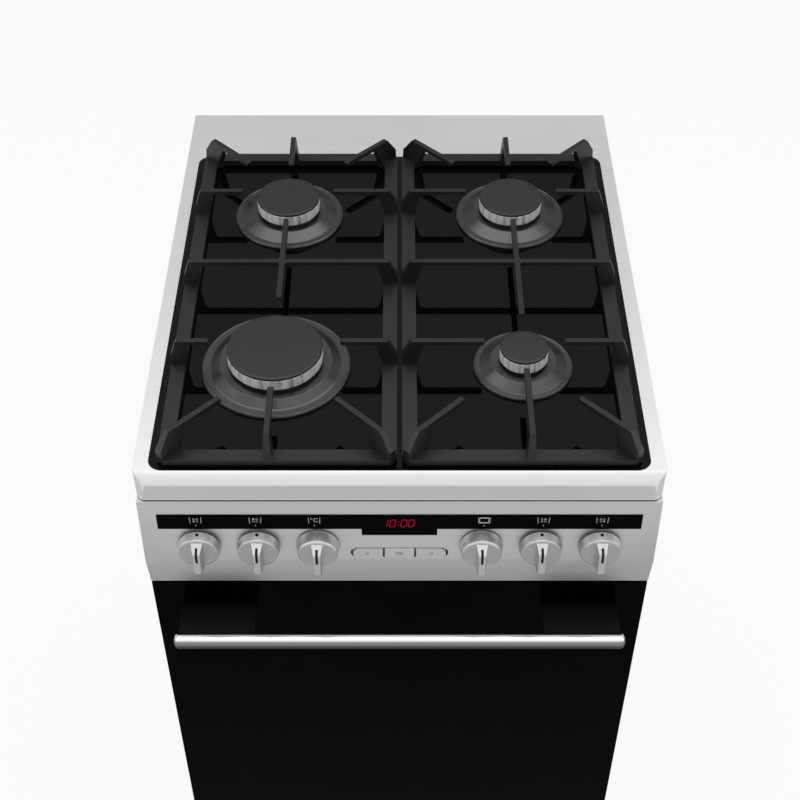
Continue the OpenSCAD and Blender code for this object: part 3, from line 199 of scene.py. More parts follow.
def soften(obj, width, segments=2, angle=28):
    """Rounds the edges that are sharper than the angle in degrees; the width is in mm."""
    m = obj.modifiers.new("edges", "BEVEL")
    m.width, m.segments = width * MM, segments
    m.limit_method, m.angle_limit = "ANGLE", math.radians(angle)
    return apply_all(obj)


def smooth(obj, angle=32):
    """Shades a form smooth up to that angle, its large faces flat."""
    only(obj)
    bpy.ops.object.shade_smooth_by_angle(angle=math.radians(angle))
    m = obj.modifiers.new("normals", "WEIGHTED_NORMAL")
    m.keep_sharp = True
    return apply_all(obj)


def retaken(node, name, merged=True):
    """A copy of a CAD node, its flat faces merged unless that is turned off, to be rounded and finished."""
    obj = bpy.data.objects.new(name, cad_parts[node].data.copy())
    bpy.context.scene.collection.objects.link(obj)
    only(obj)
    bpy.ops.mesh.customdata_custom_splitnormals_clear()
    bpy.ops.object.mode_set(mode="EDIT")
    bpy.ops.mesh.select_all(action="SELECT")
    bpy.ops.mesh.remove_doubles(threshold=2e-6)
    if merged:
        bpy.ops.mesh.dissolve_limited(angle_limit=math.radians(0.6))
    bpy.ops.object.mode_set(mode="OBJECT")
    return obj


def finish(obj, body, slot, material, *nodes):
    """Gives a piece its material and its body, and hides the CAD nodes it stands for; the slot is not used."""
    obj.data.materials.clear()
    obj.data.materials.append(material)
    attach(obj, body)
    if nodes:
        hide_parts(*nodes)
    return obj


# ---- Finishes ----
def tone(level, blue=0):
    """A grey of that display level, 0 to 255, with a touch of blue or, below 0, of warmth."""

    def linear(v):
        v = min(max(v, 0), 255) / 255
        return v / 12.92 if v <= 0.04045 else ((v + 0.055) / 1.055) ** 2.4

    return (linear(level - blue), linear(level), linear(level + blue), 1.0)


def add(tree, kind, settings=None, **inputs):
    """A node of that kind; each input is a number, a colour or another node's output."""
    node = tree.nodes.new("ShaderNode" + kind)
    for key, value in (settings or {}).items():
        setattr(node, key, value)
    for key, value in inputs.items():
        socket = node.inputs[key.replace("_", " ")]
        if isinstance(value, bpy.types.NodeSocket):
            tree.links.new(value, socket)
        else:
            socket.default_value = value
    return node


def maths(tree, operation, *values):
    """A sum of that kind; each value is a number or another node's output."""
    node = tree.nodes.new("ShaderNodeMath")
    node.operation = operation
    for socket, value in zip(node.inputs, values):
        if isinstance(value, bpy.types.NodeSocket):
            tree.links.new(value, socket)
        else:
            socket.default_value = value
    return node.outputs[0]


def blended(tree, factor, first, second):
    """Two shaders mixed by a factor."""
    node = add(tree, "MixShader", Fac=factor)
    tree.links.new(first, node.inputs[1])
    tree.links.new(second, node.inputs[2])
    return node.outputs[0]


def ramp(tree, factor, stops):
    """A colour ramp with stops of (position, colour)."""
    node = add(tree, "ValToRGB", Fac=factor)
    stop = node.color_ramp.elements
    while len(stop) < len(stops):
        stop.new(1.0)
    for e, (position, colour) in zip(stop, stops):
        e.position, e.color = position, colour
    return node.outputs["Color"]


def coating(name, dark, light, grain=(60, 60, 60), rough=(0.3, 0.4), metallic=0.0, specular=0.5,
            bump=0.0, depth=0.05, detail=4.0, coat=0.0, extra=None):
    """A finish of two tones, a roughness range and a fine relief.

    The grain is in cycles a metre along X, Y and Z, the relief's depth in mm. The tones follow the
    grain; the roughness follows the grain and a broad unevenness.
    """
    material = bpy.data.materials.new(name)
    material.use_nodes = True
    tree = material.node_tree
    shader = tree.nodes["Principled BSDF"]
    place = add(tree, "TexCoord").outputs["Object"]
    stretched = add(tree, "Mapping", Vector=place, Scale=grain).outputs[0]
    noise = add(tree, "TexNoise", Vector=stretched, Scale=1.0, Detail=detail, Roughness=0.6).outputs["Fac"]
    tree.links.new(ramp(tree, noise, [(0.35, dark), (0.65, light)]), shader.inputs["Base Color"])
    broad = add(tree, "TexNoise", Vector=place, Scale=9.0, Detail=2.0).outputs["Fac"]
    uneven = maths(tree, "MULTIPLY_ADD", noise, 0.6, maths(tree, "MULTIPLY", broad, 0.4))
    span = add(tree, "MapRange", Value=uneven, From_Min=0.35, From_Max=0.65, To_Min=rough[0], To_Max=rough[1])
    tree.links.new(span.outputs[0], shader.inputs["Roughness"])
    shader.inputs["Metallic"].default_value = metallic
    shader.inputs["Specular IOR Level"].default_value = specular
    shader.inputs["Coat Weight"].default_value = coat
    if bump:
        relief = add(tree, "Bump", Strength=bump, Distance=depth * MM, Height=noise)
        tree.links.new(relief.outputs[0], shader.inputs["Normal"])
    if extra:
        extra(tree, shader, place)
    return material


STEEL = coating("hob_steel", tone(234), tone(239), (6, 700, 700), (0.36, 0.42), 0.8, bump=0.02, depth=0.02)
PANEL_STEEL = coating("panel_steel", tone(206), tone(213),
                      (5, 900, 1200), (0.48, 0.54), 1.0, bump=0.03, depth=0.02)
ENAMEL = coating("plate_enamel", tone(3), tone(5),
                 (90, 90, 90), (0.03, 0.05), specular=0.16, bump=0.02, depth=0.01)
SKIRT_ENAMEL = coating("skirt_enamel", tone(17), tone(22),
                       (500, 500, 500), (0.28, 0.34), specular=0.9, bump=0.05, depth=0.02)
CAP_ENAMEL = coating("cap_enamel", tone(20), tone(25),
                     (700, 700, 700), (0.36, 0.46), specular=0.5, bump=0.08, depth=0.02)
IRON = coating("grate_enamel", tone(19), tone(24),
               (600, 600, 600), (0.38, 0.48), specular=0.4, bump=0.15, depth=0.04)
ALUMINIUM = coating("crown_aluminium", tone(190), tone(235), (300, 300, 60), (0.25, 0.4), 1.0)
BRASS = coating("tap_brass", (0.55, 0.38, 0.13, 1), (0.72, 0.52, 0.22, 1), (400, 400, 90), (0.25, 0.4), 1.0)
CERAMIC = coating("electrode_ceramic", tone(222, -4), tone(236, -3), (200, 200, 200), (0.12, 0.2), coat=0.3)
COPPER = coating("probe_copper", (0.45, 0.2, 0.1, 1), (0.62, 0.32, 0.18, 1),
                 (300, 300, 80), (0.28, 0.42), 1.0)
GALVANISED = coating("galvanised_sheet", tone(150, 1), tone(182, 1),
                     (70, 70, 70), (0.35, 0.55), 0.85, bump=0.1, depth=0.03, detail=1.0)
SIDE_PAINT = coating("side_paint", tone(168), tone(176),
                     (900, 900, 900), (0.38, 0.48), 0.0, bump=0.12, depth=0.03)
GLOSS_BLACK = coating("strip_gloss", tone(5), tone(7), (60, 60, 60), (0.08, 0.12), specular=0.02)
BOARD = coating("board_plastic", tone(190, -8), tone(200, -8), (200, 200, 200), (0.4, 0.5))
GREY_ENAMEL = coating("oven_enamel", tone(52, 2), tone(74, 2),
                      (1400, 1400, 1400), (0.16, 0.26), bump=0.08, depth=0.02, detail=1.0)
WOOL = coating("glass_wool", tone(196, -16), tone(226, -14),
               (260, 260, 40), (0.85, 0.95), specular=0.1, bump=0.9, depth=1.2)
ELEMENT = coating("element_oxide", tone(74, -3), tone(96, -5), (300, 300, 300), (0.5, 0.65), 0.6, bump=0.1)
CHROME = coating("wire_chrome", tone(200), tone(226), (90, 90, 90), (0.1, 0.18), 1.0)
RUBBER = coating("black_rubber", tone(34), tone(44), (500, 500, 500), (0.65, 0.8), specular=0.3, bump=0.2)
BLACK_PLASTIC = coating("black_plastic", tone(38), tone(44), (900, 900, 900), (0.4, 0.5), bump=0.2)
BRACKET_BLACK = coating("bracket_black", tone(12), tone(16),
                        (900, 900, 900), (0.35, 0.45), specular=0.15, bump=0.1, depth=0.02)
BLACK_GLASS = coating("door_glass", tone(2), tone(4), (20, 20, 20), (0.03, 0.05), specular=0.02)


def painted_underside_shade(tree, shader, place):
    """Paints shade into the bar's colour: multiplies its tone by one that falls off towards its underside."""
    height = add(tree, "SeparateXYZ", Vector=place).outputs["Z"]
    low, high = (HANDLE_Z - 7) * MM, (HANDLE_Z + 7.5) * MM
    level = add(tree, "MapRange", Value=height, From_Min=low, From_Max=high, To_Min=0.0, To_Max=1.0).outputs[0]
    shade = ramp(tree, level, [(0.0, tone(60)), (0.5, tone(104)), (0.84, tone(150)), (0.93, tone(255))])
    mixed = add(tree, "Mix", {"data_type": "RGBA", "blend_type": "MULTIPLY"})
    mixed.inputs["Factor"].default_value = 1.0
    tree.links.new(shader.inputs["Base Color"].links[0].from_socket, mixed.inputs[6])
    tree.links.new(shade, mixed.inputs[7])
    tree.links.new(mixed.outputs[2], shader.inputs["Base Color"])


# the bar's colour carries painted shade, darker towards its underside
BAR = coating("bar_steel", tone(236), tone(246),
              (5, 1500, 1500), (0.16, 0.24), 1.0, bump=0.06, depth=0.02, extra=painted_underside_shade)
SATIN = coating("knob_satin", tone(196), tone(204), (500, 500, 500), (0.42, 0.5), 1.0)
BUTTON_SATIN = coating("button_satin", tone(206), tone(214), (500, 500, 500), (0.4, 0.5), 0.7)
INK = coating("black_ink", tone(10), tone(14), (300, 300, 300), (0.4, 0.5), specular=0.2)
GREY_INK = coating("grey_ink", tone(84), tone(94), (300, 300, 300), (0.4, 0.5), specular=0.3)
WHITE_INK = coating("white_ink", tone(196), tone(206), (300, 300, 300), (0.4, 0.5), specular=0.3)


def see_through(name, colour, rough=0.02):
    """Tinted clear glass with faint unevenness."""
    material = coating(name, colour, colour, (30, 30, 30), (rough, rough + 0.02))
    shader = material.node_tree.nodes["Principled BSDF"]
    shader.inputs["Transmission Weight"].default_value = 0.95
    shader.inputs["IOR"].default_value = 1.5
    return material


CLEAR_GLASS = see_through("inner_glass", tone(170, -3))
LAMP_GLASS = see_through("lamp_glass", tone(240, -3), 0.08)


def glowing(name, colour, strength):
    """A lit segment of the clock."""
    material = coating(name, (0.02, 0, 0, 1), (0.04, 0, 0, 1), (400, 400, 400), (0.4, 0.5), specular=0.0)
    shader = material.node_tree.nodes["Principled BSDF"]
    shader.inputs["Emission Color"].default_value = colour
    shader.inputs["Emission Strength"].default_value = strength
    return material


DIGIT_RED = glowing("clock_red", (0.8, 0.008, 0.06, 1), 0.55)


def crown_metal(x, y):
    """Bright cast aluminium with painted reflections: light and dark streaks round a burner's axis painted into
    its colour.
    """

    def painted_reflection_streaks(tree, shader, place):
        local = add(tree, "Mapping", Vector=place, Location=-at(x, y, 0)).outputs[0]
        axes = add(tree, "SeparateXYZ", Vector=local).outputs
        turn = maths(tree, "ARCTAN2", axes["Y"], axes["X"])
        line = add(tree, "CombineXYZ", X=turn, Z=axes["Z"]).outputs[0]
        noise = add(tree, "TexNoise", Vector=line, Scale=4.0, Detail=3.0, Roughness=0.7).outputs["Fac"]
        # painted reflection: light and dark bands round the axis stand for mirrored surroundings
        colour = ramp(tree, noise, [(0.34, tone(96)), (0.44, tone(220)), (0.56, tone(255))])
        tree.links.new(colour, shader.inputs["Base Color"])

    return coating("crown_metal", tone(190), tone(235), (300, 300, 60), (0.24, 0.32), 0.3, extra=painted_reflection_streaks)


# ---- Burners ----
def burner(name, x, y, cap_r, skirt_r, slots):
    """One burner's cap, crown and skirt, turned round its axis, with slots sunk into the crown."""
    here = Matrix.Translation(at(x, y, 0))
    lid = CROWN_TOP + 0.7
    cap = turned("cap_" + name, ROUND_SIDES, [
        (cap_r - 2.4, CROWN_TOP - 0.2), (cap_r - 2.2, lid), (cap_r - 0.5, lid), (cap_r, lid + 0.4),
        (cap_r, lid + 1.9), (cap_r - 0.25, lid + 2.4), (cap_r - 0.8, lid + 2.8), (cap_r - 1.6, lid + 2.98),
        (cap_r - 4, lid + 3.1), (6, lid + 3.35),
    ])
    finish(smooth(settle(cap, here), 50), "cooker", "black_enamel", CAP_ENAMEL, "burner_caps")

    sides = slots * SIDES_PER_SLOT
    crown = turned("crown_" + name, sides, [
        (cap_r - 2.0, CROWN), (cap_r - 0.6, CROWN + 0.3), (cap_r, CROWN + 1.1), (cap_r, CROWN_TOP - 3.6),
        (cap_r, CROWN_TOP - 1.0), (cap_r - 1.0, CROWN_TOP - 0.8), (cap_r - 1.2, CROWN_TOP),
        (cap_r - 6, CROWN_TOP), (cap_r - 6, CROWN + 3),
    ])

    def in_slot(c, n):
        upright = abs(n.z) < 0.3 and math.hypot(c.x, c.y) > cap_r - 1
        side = round(math.atan2(c.y, c.x) / math.tau * sides - 0.5)
        return upright and CROWN_TOP - 3.4 < c.z < CROWN_TOP - 1.2 and side % SIDES_PER_SLOT == 0

    pick_faces(crown, in_slot)
    bpy.ops.mesh.extrude_region_move()
    inward = (cap_r - SLOT_DEPTH) / cap_r
    bpy.ops.transform.resize(value=(inward, inward, 0.98), center_override=(0, 0, (CROWN_TOP - 2.3) * MM))
    bpy.ops.object.mode_set(mode="OBJECT")
    finish(smooth(settle(crown, here), 40), "cooker", "bright_aluminium", crown_metal(x, y), "burner_crowns")

    hole = cap_r - 8
    top = CROWN - 0.6
    slope = max(0.66 * skirt_r, 1.19 * cap_r)
    skirt = turned("skirt_" + name, ROUND_SIDES, [
        (hole, top), (cap_r - 3, top), (cap_r - 2.6, top - 2.8), (slope - 0.8, top - 2.3),
        (slope - 0.2, top - 2.45), (slope + 0.4, top - 2.9), (0.855 * skirt_r, RIM + 0.5),
        (0.87 * skirt_r, RIM - 0.1), (0.89 * skirt_r, RIM - 0.3), (skirt_r - 2.8, RIM - 0.3),
        (skirt_r - 2.2, RIM), (skirt_r - 1.5, RIM - 0.05), (skirt_r - 0.6, RIM - 0.6), (skirt_r, RIM - 1.8),
        (skirt_r, PLATE), (skirt_r - 1.2, PLATE), (skirt_r - 1.3, RIM - 2.2), (0.86 * skirt_r, RIM - 1.6),
        (slope, top - 4.3), (cap_r - 3, top - 4), (cap_r - 4.2, top - 1.3), (hole, top - 1.3),
    ], closed=True)
    finish(smooth(settle(skirt, here), 25), "cooker", "black_enamel", SKIRT_ENAMEL, "burner_skirts")


for name, facts in BURNERS.items():
    burner(name, *facts)


# ---- Hob ----
surround = soften(retaken("hob_surround", "hob_top"), 0.3, 2, 40)
finish(smooth(surround, 30), "cooker", "stainless", STEEL, "hob_surround")
plate = soften(retaken("hob_plate", "plate"), 0.3, 2, 40)
finish(smooth(plate, 30), "cooker", "black_enamel", ENAMEL, "hob_plate")


def crossing(x):
    """The rounded corners where a grate's middle bar crosses its cross bar."""
    r, half_bar, steps, depth = 3.6, 2.75, 6, 4.1
    corners = []
    for quarter in range(4):
        turn = Matrix.Rotation(math.pi / 2 * quarter, 2)
        for i in range(steps + 1):
            a = math.pi + math.pi / 2 * i / steps
            corners.append(turn @ Vector((half_bar + r + r * math.sin(a), half_bar + r + r * math.cos(a))))
    return settle(outlined("crossing", corners, depth), Matrix.Translation(at(x, 274.15, 880.7)))


for side, x in (("left", -123.0), ("right", 123.0)):
    grate = soften(retaken("grate_" + side, "casting_" + side, merged=False), 0.6, 2, 25)
    grate = joined("casting_" + side, [grate, crossing(x)])
    finish(smooth(grate, 35), "grate_" + side, "cast_iron", IRON, "grate_" + side)


# ---- Control panel ----
panel = soften(retaken("control_panel", "panel_sheet"), 0.8, 3, 40)
pick_points(panel, lambda p: p.z > PANEL_TOP - 1)
bpy.ops.transform.translate(value=(0, 0, 0.9 * MM))  # narrows the gap under the surround
bpy.ops.object.mode_set(mode="OBJECT")
finish(smooth(panel, 30), "cooker", "stainless", PANEL_STEEL, "control_panel")
STRIP_TOP, STRIP_LOW, TAB_LOW = 15.4, 34.2, 42.5  # below the panel's top
STRIP_HALF, TAB_HALF = 232, 36.3
MARK_T = 0.08  # a printed mark's thickness
FACE = 0.8  # the strip's face above the panel
strip = outlined("clock_strip", [
    (-STRIP_HALF, -STRIP_LOW), (-TAB_HALF, -STRIP_LOW), (-TAB_HALF, -TAB_LOW), (TAB_HALF, -TAB_LOW),
    (TAB_HALF, -STRIP_LOW), (STRIP_HALF, -STRIP_LOW), (STRIP_HALF, -STRIP_TOP), (-STRIP_HALF, -STRIP_TOP),
], FACE)
settle(strip, panel_place(0, 0))
finish(smooth(soften(strip, 0.25, 2)), "cooker", "gloss_black", GLOSS_BLACK, "display_strip")


def mark(points, out):
    """A flat printed mark on the panel, given by x and s; it stands just out of its ground."""
    form = outlined("mark", [(x, -s) for x, s in points][::-1], MARK_T)
    return settle(form, panel_place(0, 0, out))


def bar_mark(x0, s0, x1, s1, out, half=0.3):
    """A straight printed line."""
    d = Vector((x1 - x0, s1 - s0)).normalized()
    n = Vector((-d.y, d.x)) * half
    return mark([(x0 - n.x, s0 - n.y), (x1 - n.x, s1 - n.y), (x1 + n.x, s1 + n.y), (x0 + n.x, s0 + n.y)], out)


def dot_mark(x, s, r, out, ring=0.0):
    """A printed dot, or a ring of that line width."""
    if not ring:
        turns = [math.tau * i / 20 for i in range(20)]
        return mark([(x + r * math.cos(a), s + r * math.sin(a)) for a in turns], out)
    band = turned("mark", 24, [(r - ring, 0), (r, 0), (r, MARK_T), (r - ring, MARK_T)], closed=True)
    return settle(band, panel_place(x, s, out))


def letters(text, x, s, size, out, flat=None):
    """Plain generic lettering, centred, as a thin solid."""
    bpy.ops.object.select_all(action="DESELECT")
    bpy.ops.object.text_add()
    obj = bpy.context.object
    obj.data.body = text
    obj.data.size = size * MM
    obj.data.extrude = 0.04 * MM
    obj.data.align_x, obj.data.align_y = "CENTER", "CENTER"
    obj.data.resolution_u = 3
    only(obj)
    bpy.ops.object.convert(target="MESH")
    return settle(obj, flat or panel_place(x, s, out))


SEGMENTS = {"1": "bc", "0": "abcdef"}


def digit(sign, x, s0, s1, w):
    """A leaning figure of clock segments between two heights, from x on, w wide."""
    h, lean, half_line, joint = s1 - s0, 0.16, 0.38, 0.5
    ends = {
        "a": (0, 0, w, 0), "b": (w, 0, w, h / 2), "c": (w, h / 2, w, h),
        "d": (0, h, w, h), "e": (0, h / 2, 0, h), "f": (0, 0, 0, h / 2),
    }
    forms = []
    for segment in SEGMENTS[sign]:
        x0, y0, x1, y1 = ends[segment]
        d = Vector((x1 - x0, y1 - y0)).normalized() * joint
        x0, y0, x1, y1 = x0 + d.x, y0 + d.y, x1 - d.x, y1 - d.y
        left, right = x + x0 + (h - y0) * lean, x + x1 + (h - y1) * lean
        forms.append(bar_mark(left, s0 + y0, right, s0 + y1, FACE, half_line))
    return forms


clock = []
for sign, x in (("1", -17.3), ("0", -9.9), ("0", 0.9), ("0", 8.0)):
    clock += digit(sign, x, 21.8, 30.9, 5.0)
clock += [dot_mark(-1.1, 24.6, 0.5, FACE), dot_mark(-1.6, 28.5, 0.5, FACE)]
finish(joined("clock_figures", clock), "cooker", "gloss_black", DIGIT_RED)


def hob_icon(x, filled):
    """Four rings, one of them filled for the burner that the knob serves."""
    forms = []
    for i, (dx, ds) in enumerate(((-1.6, -1.5), (1.6, -1.5), (-1.6, 1.5), (1.6, 1.5))):
        forms.append(dot_mark(x + dx, 22.3 + ds, 1.05, FACE, 0 if i == filled else 0.35))
    return forms


icons = []
for x, kind in ((-195, 2), (-138, 0), (137.6, 1), (193.8, 3), (-81.5, "C"), (81, "oven")):
    for side in (-1, 1):
        icons.append(bar_mark(x + side * 5.6, 18.6, x + side * 5.2, 26.4, FACE, 0.28))
    icons.append(bar_mark(x, 28.3, x, 30.4, FACE, 0.3))
    if kind == "C":
        icons.append(letters("°C", x, 22.4, 7.2, FACE + 0.04))
    elif kind == "oven":
        w, t0, t1 = 4.4, 19.2, 25.6
        icons += [bar_mark(x - w, t0, x - w, t1, FACE), bar_mark(x + w, t0, x + w, t1, FACE),
                  bar_mark(x - w, t0, x + w, t0, FACE, 0.65), bar_mark(x - w, t1, x + w, t1, FACE, 0.65)]
    else:
        icons += hob_icon(x, kind)
finish(joined("strip_marks", icons), "cooker", "gloss_black", WHITE_INK)

BUTTON_FACE = 1.6  # above the panel
KEYS = (("button_down", "<", -31.3, 0.92), ("button_ok", "OK", 0, 0.97), ("button_up", ">", 31.3, 0.92))


def key_sign(sign, x):
    """The sign on one button, printed in grey."""
    if sign == "OK":
        return letters(sign, x, KEY_S, 5.4, BUTTON_FACE + 0.04)
    tip = -1.5 if sign == "<" else 1.5
    arms = []
    for side in (-1, 1):
        arms.append(bar_mark(x - tip, KEY_S + side * 1.9, x + tip, KEY_S + side * 0.1, BUTTON_FACE))
    return joined("arrow", arms)


for node, sign, x, shrink in KEYS:
    key = soften(retaken(node, node.replace("button", "key")), 0.5, 3, 40)
    pick_points(key, lambda p: True)
    bpy.ops.transform.resize(value=(shrink, 1, 1), center_override=(x * 0.74 * MM, 0, 0))
    bpy.ops.object.mode_set(mode="OBJECT")
    finish(smooth(key, 30), node, "satin_silver", BUTTON_SATIN, node)
    text = key_sign(sign, x)
    text.name = "sign_" + node
    finish(text, node, "satin_silver", GREY_INK)


# ---- Knobs ----
ON_EDGE = Matrix.Rotation(math.pi / 2, 4, "Z") @ Matrix.Rotation(math.pi / 2, 4, "X")
OUTWARD = Matrix.Rotation(-math.pi / 2, 4, "X")
GRIP_W, POINTER_W = 13.0, 2.5
SIGN_DEPTH = 8.2  # the oven knobs' signs out from the panel


def knob(name, x, body, gas):
    """A knob with a leaning face, a grip and a pointer; the gas knobs are lower and stand off the panel."""
    gap, disc = (3.4, 8.7) if gas else (1.5, 12.5)
    face = gap + disc
    ridge = face + 12.5  # the grip's crest
    rim = face + 16.5 * math.tan(LEAN)  # the foot of the grip's slope
    rings = [(19.8, gap), (20.7, gap + 0.3), (21, gap + 1.0), (20.4, gap + 3.2)]
    if gas:
        rings += [(19.8, face - 2.7), (19.0, face - 2.5), (19.0, face - 1.9), (19.7, face - 1.7),
                  (19.4, face - 0.5), (18.9, face - 0.12), (18.4, face)]
    else:
        rings += [(19.7, face - 2.6), (19.55, face - 1.5), (19.1, face - 0.7), (18.4, face - 0.2), (17.6, face)]
    barrel = turned("knob_" + name, 96, rings)
    pick_points(barrel, lambda p: p.z > face - 2.7)
    middle = (0, 0, face * MM)
    bpy.ops.transform.rotate(value=-LEAN, orient_axis="X", orient_type="GLOBAL", center_override=middle)
    bpy.ops.object.mode_set(mode="OBJECT")

    side = [(-16.2, gap + 1), (15.9, gap + 1), (16.5, rim), (10.6, ridge - 0.6), (9.4, ridge),
            (-16, ridge), (-17, ridge - 1)]
    grip = outlined("grip", side, GRIP_W)
    settle(grip, Matrix.Translation((-GRIP_W / 2 * MM, 0, 0)) @ ON_EDGE)
    pick_points(grip, lambda p: p.z > ridge - 2)
    bpy.ops.transform.resize(value=(7 / GRIP_W, 1, 1), center_override=(0, 0, ridge * MM))
    pick_points(grip, lambda p: abs(p.z - rim) < 0.1)
    bpy.ops.transform.resize(value=(11.5 / GRIP_W, 1, 1), center_override=(0, 0, rim * MM))
    bpy.ops.object.mode_set(mode="OBJECT")
    soften(grip, 0.8, 3, 15)
    whole = joined("knob_" + name, [barrel, grip])
    settle(whole, panel_place(x, KNOB_S))
    finish(smooth(whole, 30), body, "satin_silver", SATIN, body)

    slope = rim + (16.5 - 13.9) / 5.9 * (ridge - 0.6 - rim)  # the height where the pointer starts
    lift = 0.12
    line = [(13.9, slope + lift), (10.6, ridge - 0.6 + lift), (9.4, ridge + lift), (-0.4, ridge + lift),
            (-0.4, ridge - 0.5), (9.0, ridge - 0.5), (13.4, slope - 0.4)]
    pointer = outlined("pointer_" + name, line[::-1], POINTER_W)
    settle(pointer, panel_place(x, KNOB_S) @ Matrix.Translation((-POINTER_W / 2 * MM, 0, 0)) @ ON_EDGE)
    printed = [pointer]
    if name != "function":
        dot_r, reach, depth = (1.6, 19.85, gap + 3.9) if gas else (0.8, 19.35, gap + 7.5)
        spot = turned("spot", 24, [(dot_r, 0), (dot_r, 0.9)])
        settle(spot, panel_place(x, KNOB_S) @ Matrix.Translation((0, reach * MM, depth * MM)) @ OUTWARD)
        printed.append(spot)
    finish(joined("pointer_" + name, printed), body, "satin_silver", INK)


def on_skirt(x, turn, depth):
    """The placing of a flat form on an oven knob's rim, turned that many degrees from its top."""
    turned_place = panel_place(x, KNOB_S) @ Matrix.Rotation(math.radians(turn), 4, "Z")
    return turned_place @ Matrix.Translation((0, 20.05 * MM, depth * MM)) @ OUTWARD


def oven_sign(x, turn):
    """A small square with one bar in it, the sign of an oven setting."""
    corners = [(-1.7, -1.7), (1.7, -1.7), (1.7, 1.7), (-1.7, 1.7)]
    lines = list(zip(corners, corners[1:] + corners[:1])) + [((-1, 0.7), (1, 0.7))]
    half_line, half_t = 0.22, 0.04
    forms = []
    for (x0, y0), (x1, y1) in lines:
        low = (min(x0, x1) - half_line, min(y0, y1) - half_line, -half_t)
        high = (max(x0, x1) + half_line, max(y0, y1) + half_line, half_t)
        forms.append(block("line", low, high))
    return settle(joined("oven_sign", forms), on_skirt(x, turn, SIGN_DEPTH))


for name, x in KNOB_X.items():
    knob(name, x, "knob_" + name, True)
for name, x in OVEN_KNOB_X.items():
    knob(name, x, "knob_" + name, False)
x = OVEN_KNOB_X["temperature"]
figures = letters("50", x, 0, 5.6, 0, on_skirt(x, 37, SIGN_DEPTH))
figures.name = "figures_temperature"
finish(figures, "knob_temperature", "satin_silver", GREY_INK)
x = OVEN_KNOB_X["function"]
signs = [letters("0", x, 0, 5.6, 0, on_skirt(x, 0, SIGN_DEPTH))]
signs += [oven_sign(x, turn) for turn in (29, 58, -33)]
finish(joined("signs_function", signs), "knob_function", "satin_silver", GREY_INK)


# ---- Door ----
glass = soften(block("door_pane", at(-249, 0, 226) / MM, at(249, 4, 693) / MM), 1.0, 3)
finish(smooth(glass), "door", "black_glass", BLACK_GLASS, "door_outer_glass")
BAR_R, BAR_HALF = 8, 226
end = [(2, BAR_HALF), (4.6, 225.3), (6.4, 224.2), (7.5, 222.9), (BAR_R, 221.4)]
bar = turned("handle_bar", 96, [(r, -along) for r, along in end] + end[::-1])
settle(bar, Matrix.Translation(at(0, HANDLE_Y, HANDLE_Z)) @ Matrix.Rotation(math.pi / 2, 4, "Y"))
finish(smooth(bar), "door", "brushed_bar", BAR, "door_handle")
BRACKET_W, BRACKET_FRONT = 76, -36
for side, x in (("left", -221.5), ("right", 145.5)):
    low, high = at(x, BRACKET_FRONT, 648.5) / MM, at(x + BRACKET_W, 0, 657.5) / MM
    bracket = soften(block("handle_bracket_" + side, low, high), 0.5, 2)
    finish(smooth(bracket), "door", "black_plastic", BRACKET_BLACK, "handle_brackets")


# ---- Carried-over nodes ----
CARRIED = {
    GALVANISED: ("gas_manifold", "burner_pipes", "oven_thermostat", "rear_panel", "base_frame",
                 "hinge_arms", "hinge_cases", "drawer_box", "clamp_rings"),
    SIDE_PAINT: ("side_panel_left", "side_panel_right"),
    PANEL_STEEL: ("drawer_front",),
    ALUMINIUM: ("burner_cups", "gas_taps"),
    BRASS: ("gas_jets", "spindle_front_left", "spindle_rear_left", "spindle_rear_right",
            "spindle_front_right"),
    CERAMIC: ("spark_electrodes",),
    COPPER: ("thermocouples",),
    BOARD: ("clock_module", "function_switch", "spark_generator"),
    GREY_ENAMEL: ("front_frame", "oven_cavity", "door_frame", "baking_tray"),
    WOOL: ("insulation",),
    ELEMENT: ("grill_element", "bottom_element"),
    LAMP_GLASS: ("oven_lamp",),
    CHROME: ("shelf_rails", "panel_screws", "wire_shelf"),
    RUBBER: ("door_seal", "levelling_feet"),
    BLACK_PLASTIC: ("terminal_box",),
    CLEAR_GLASS: ("door_inner_glass",),
}
for material, nodes in CARRIED.items():
    for node in nodes:
        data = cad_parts[node].data
        data.materials.clear()
        data.materials.append(material)


# ---- Floor, light and camera ----
def floor_material():
    """Pale floor that shows white where nothing shades it, and keeps the object's shadow; in reflections it
    carries painted shade, darker near the cooker.
    """
    material = bpy.data.materials.new("pale_floor")
    material.use_nodes = True
    tree = material.node_tree
    tree.nodes.clear()
    path = add(tree, "LightPath").outputs
    mirrored = maths(tree, "MAXIMUM", path["Is Glossy Ray"], path["Is Transmission Ray"])
    place = add(tree, "TexCoord").outputs["Object"]
    reach = add(tree, "VectorMath", {"operation": "LENGTH"}, Vector=place).outputs["Value"]
    # painted shade: the floor seen in reflections grows darker towards the cooker
    level = add(tree, "MapRange", Value=reach, From_Min=0.85, From_Max=1.9, To_Min=0.42, To_Max=1.0)
    reflected_floor_painted_shade = add(tree, "Emission", Color=(1, 1, 1, 1), Strength=level.outputs[0]).outputs[0]
    white = add(tree, "Emission", Color=(1, 1, 1, 1), Strength=1.0).outputs[0]
    matt = add(tree, "BsdfDiffuse", Color=tone(232)).outputs[0]
    shown = blended(tree, maths(tree, "MULTIPLY", path["Is Camera Ray"], 0.9), matt, white)
    whole = blended(tree, mirrored, shown, reflected_floor_painted_shade)
    tree.links.new(whole, add(tree, "OutputMaterial").inputs["Surface"])
    return material


bpy.ops.object.select_all(action="DESELECT")
bpy.ops.mesh.primitive_plane_add(size=14)
floor = bpy.context.object
floor.name = "floor"
floor.data.materials.append(floor_material())

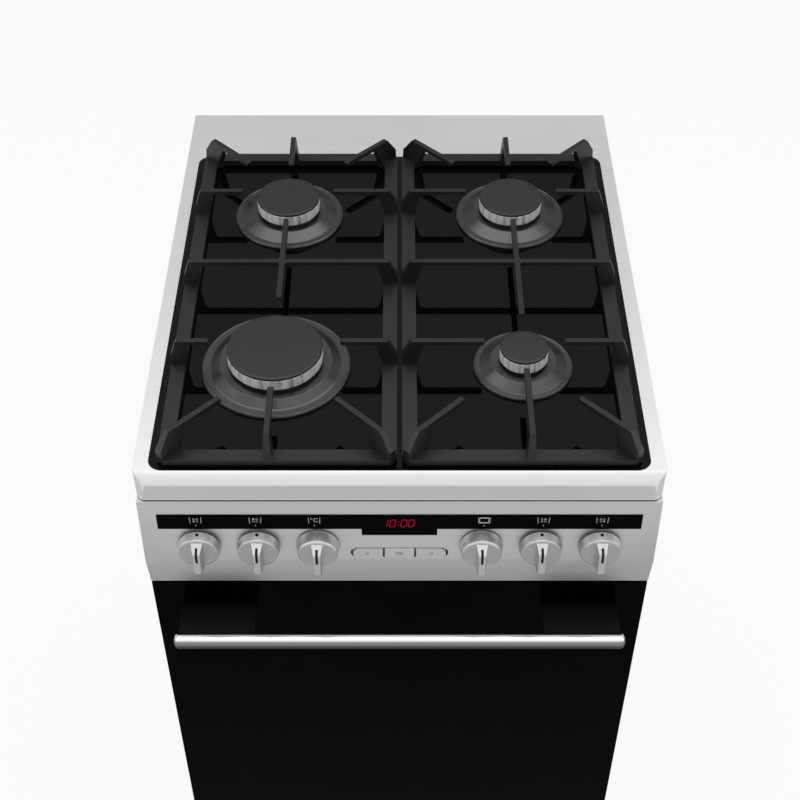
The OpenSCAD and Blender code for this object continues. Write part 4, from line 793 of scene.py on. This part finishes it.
world = bpy.context.scene.world or bpy.data.worlds.new("studio")
bpy.context.scene.world = world
world.use_nodes = True
tree = world.node_tree
tree.nodes.clear()
path = add(tree, "LightPath").outputs
direction = add(tree, "SeparateXYZ", Vector=add(tree, "TexCoord").outputs["Generated"]).outputs
facing = maths(tree, "SUBTRACT", direction["Z"], direction["Y"])  # low behind, high above and in front
height = add(tree, "MapRange", Value=facing, From_Min=-0.4, From_Max=1.6, To_Min=0.0, To_Max=1.0)
room_light = ramp(tree, height.outputs[0], [
    (0.0, tone(150)), (0.08, tone(172)), (0.14, tone(194)), (0.21, tone(214)),
    (0.35, tone(232)), (0.7, tone(244)), (1.0, tone(255)),
])
dim = add(tree, "Background", Color=(1, 1, 1, 1), Strength=0.5).outputs[0]
bright = add(tree, "Background", Color=room_light, Strength=1.0).outputs[0]
white = add(tree, "Background", Color=(1, 1, 1, 1), Strength=1.0).outputs[0]
mirrored = maths(tree, "MAXIMUM", path["Is Glossy Ray"], path["Is Transmission Ray"])
room = blended(tree, mirrored, dim, bright)
whole = blended(tree, path["Is Camera Ray"], room, white)
tree.links.new(whole, add(tree, "OutputWorld").inputs["Surface"])


def softbox(name, place, aim, width, depth, power):
    """A flat lamp in metres and watts, turned towards its aim."""
    lamp = bpy.data.lights.new(name, "AREA")
    lamp.shape, lamp.size, lamp.size_y, lamp.energy = "RECTANGLE", width, depth, power
    obj = bpy.data.objects.new(name, lamp)
    bpy.context.scene.collection.objects.link(obj)
    obj.location = place
    obj.rotation_euler = (Vector(aim) - Vector(place)).to_track_quat("-Z", "Y").to_euler()
    return obj


softbox("top_light", (0, 0.5, 2.9), (0, 0.0, 0.85), 2.8, 1.2, 18)
softbox("front_light", (0, -0.9, 2.8), (0, -0.1, 0.86), 2.4, 0.8, 3)
softbox("left_light", (-2.2, -0.6, 1.7), (0, -0.2, 0.8), 1.2, 1.8, 10)
softbox("right_light", (2.2, -0.6, 1.7), (0, -0.2, 0.8), 1.2, 1.8, 10)

camera = bpy.data.objects.new("camera", bpy.data.cameras.new("camera"))
bpy.context.scene.collection.objects.link(camera)
camera.data.lens, camera.data.sensor_width = 64.3, 36
camera.data.shift_x = 0.0006
camera.location = (0, -1.170, 1.8295)
camera.rotation_euler = (math.radians(45.5), 0, 0)
bpy.context.scene.camera = camera
bpy.context.scene.view_settings.view_transform = "Standard"

bpy.context.view_layer.update()
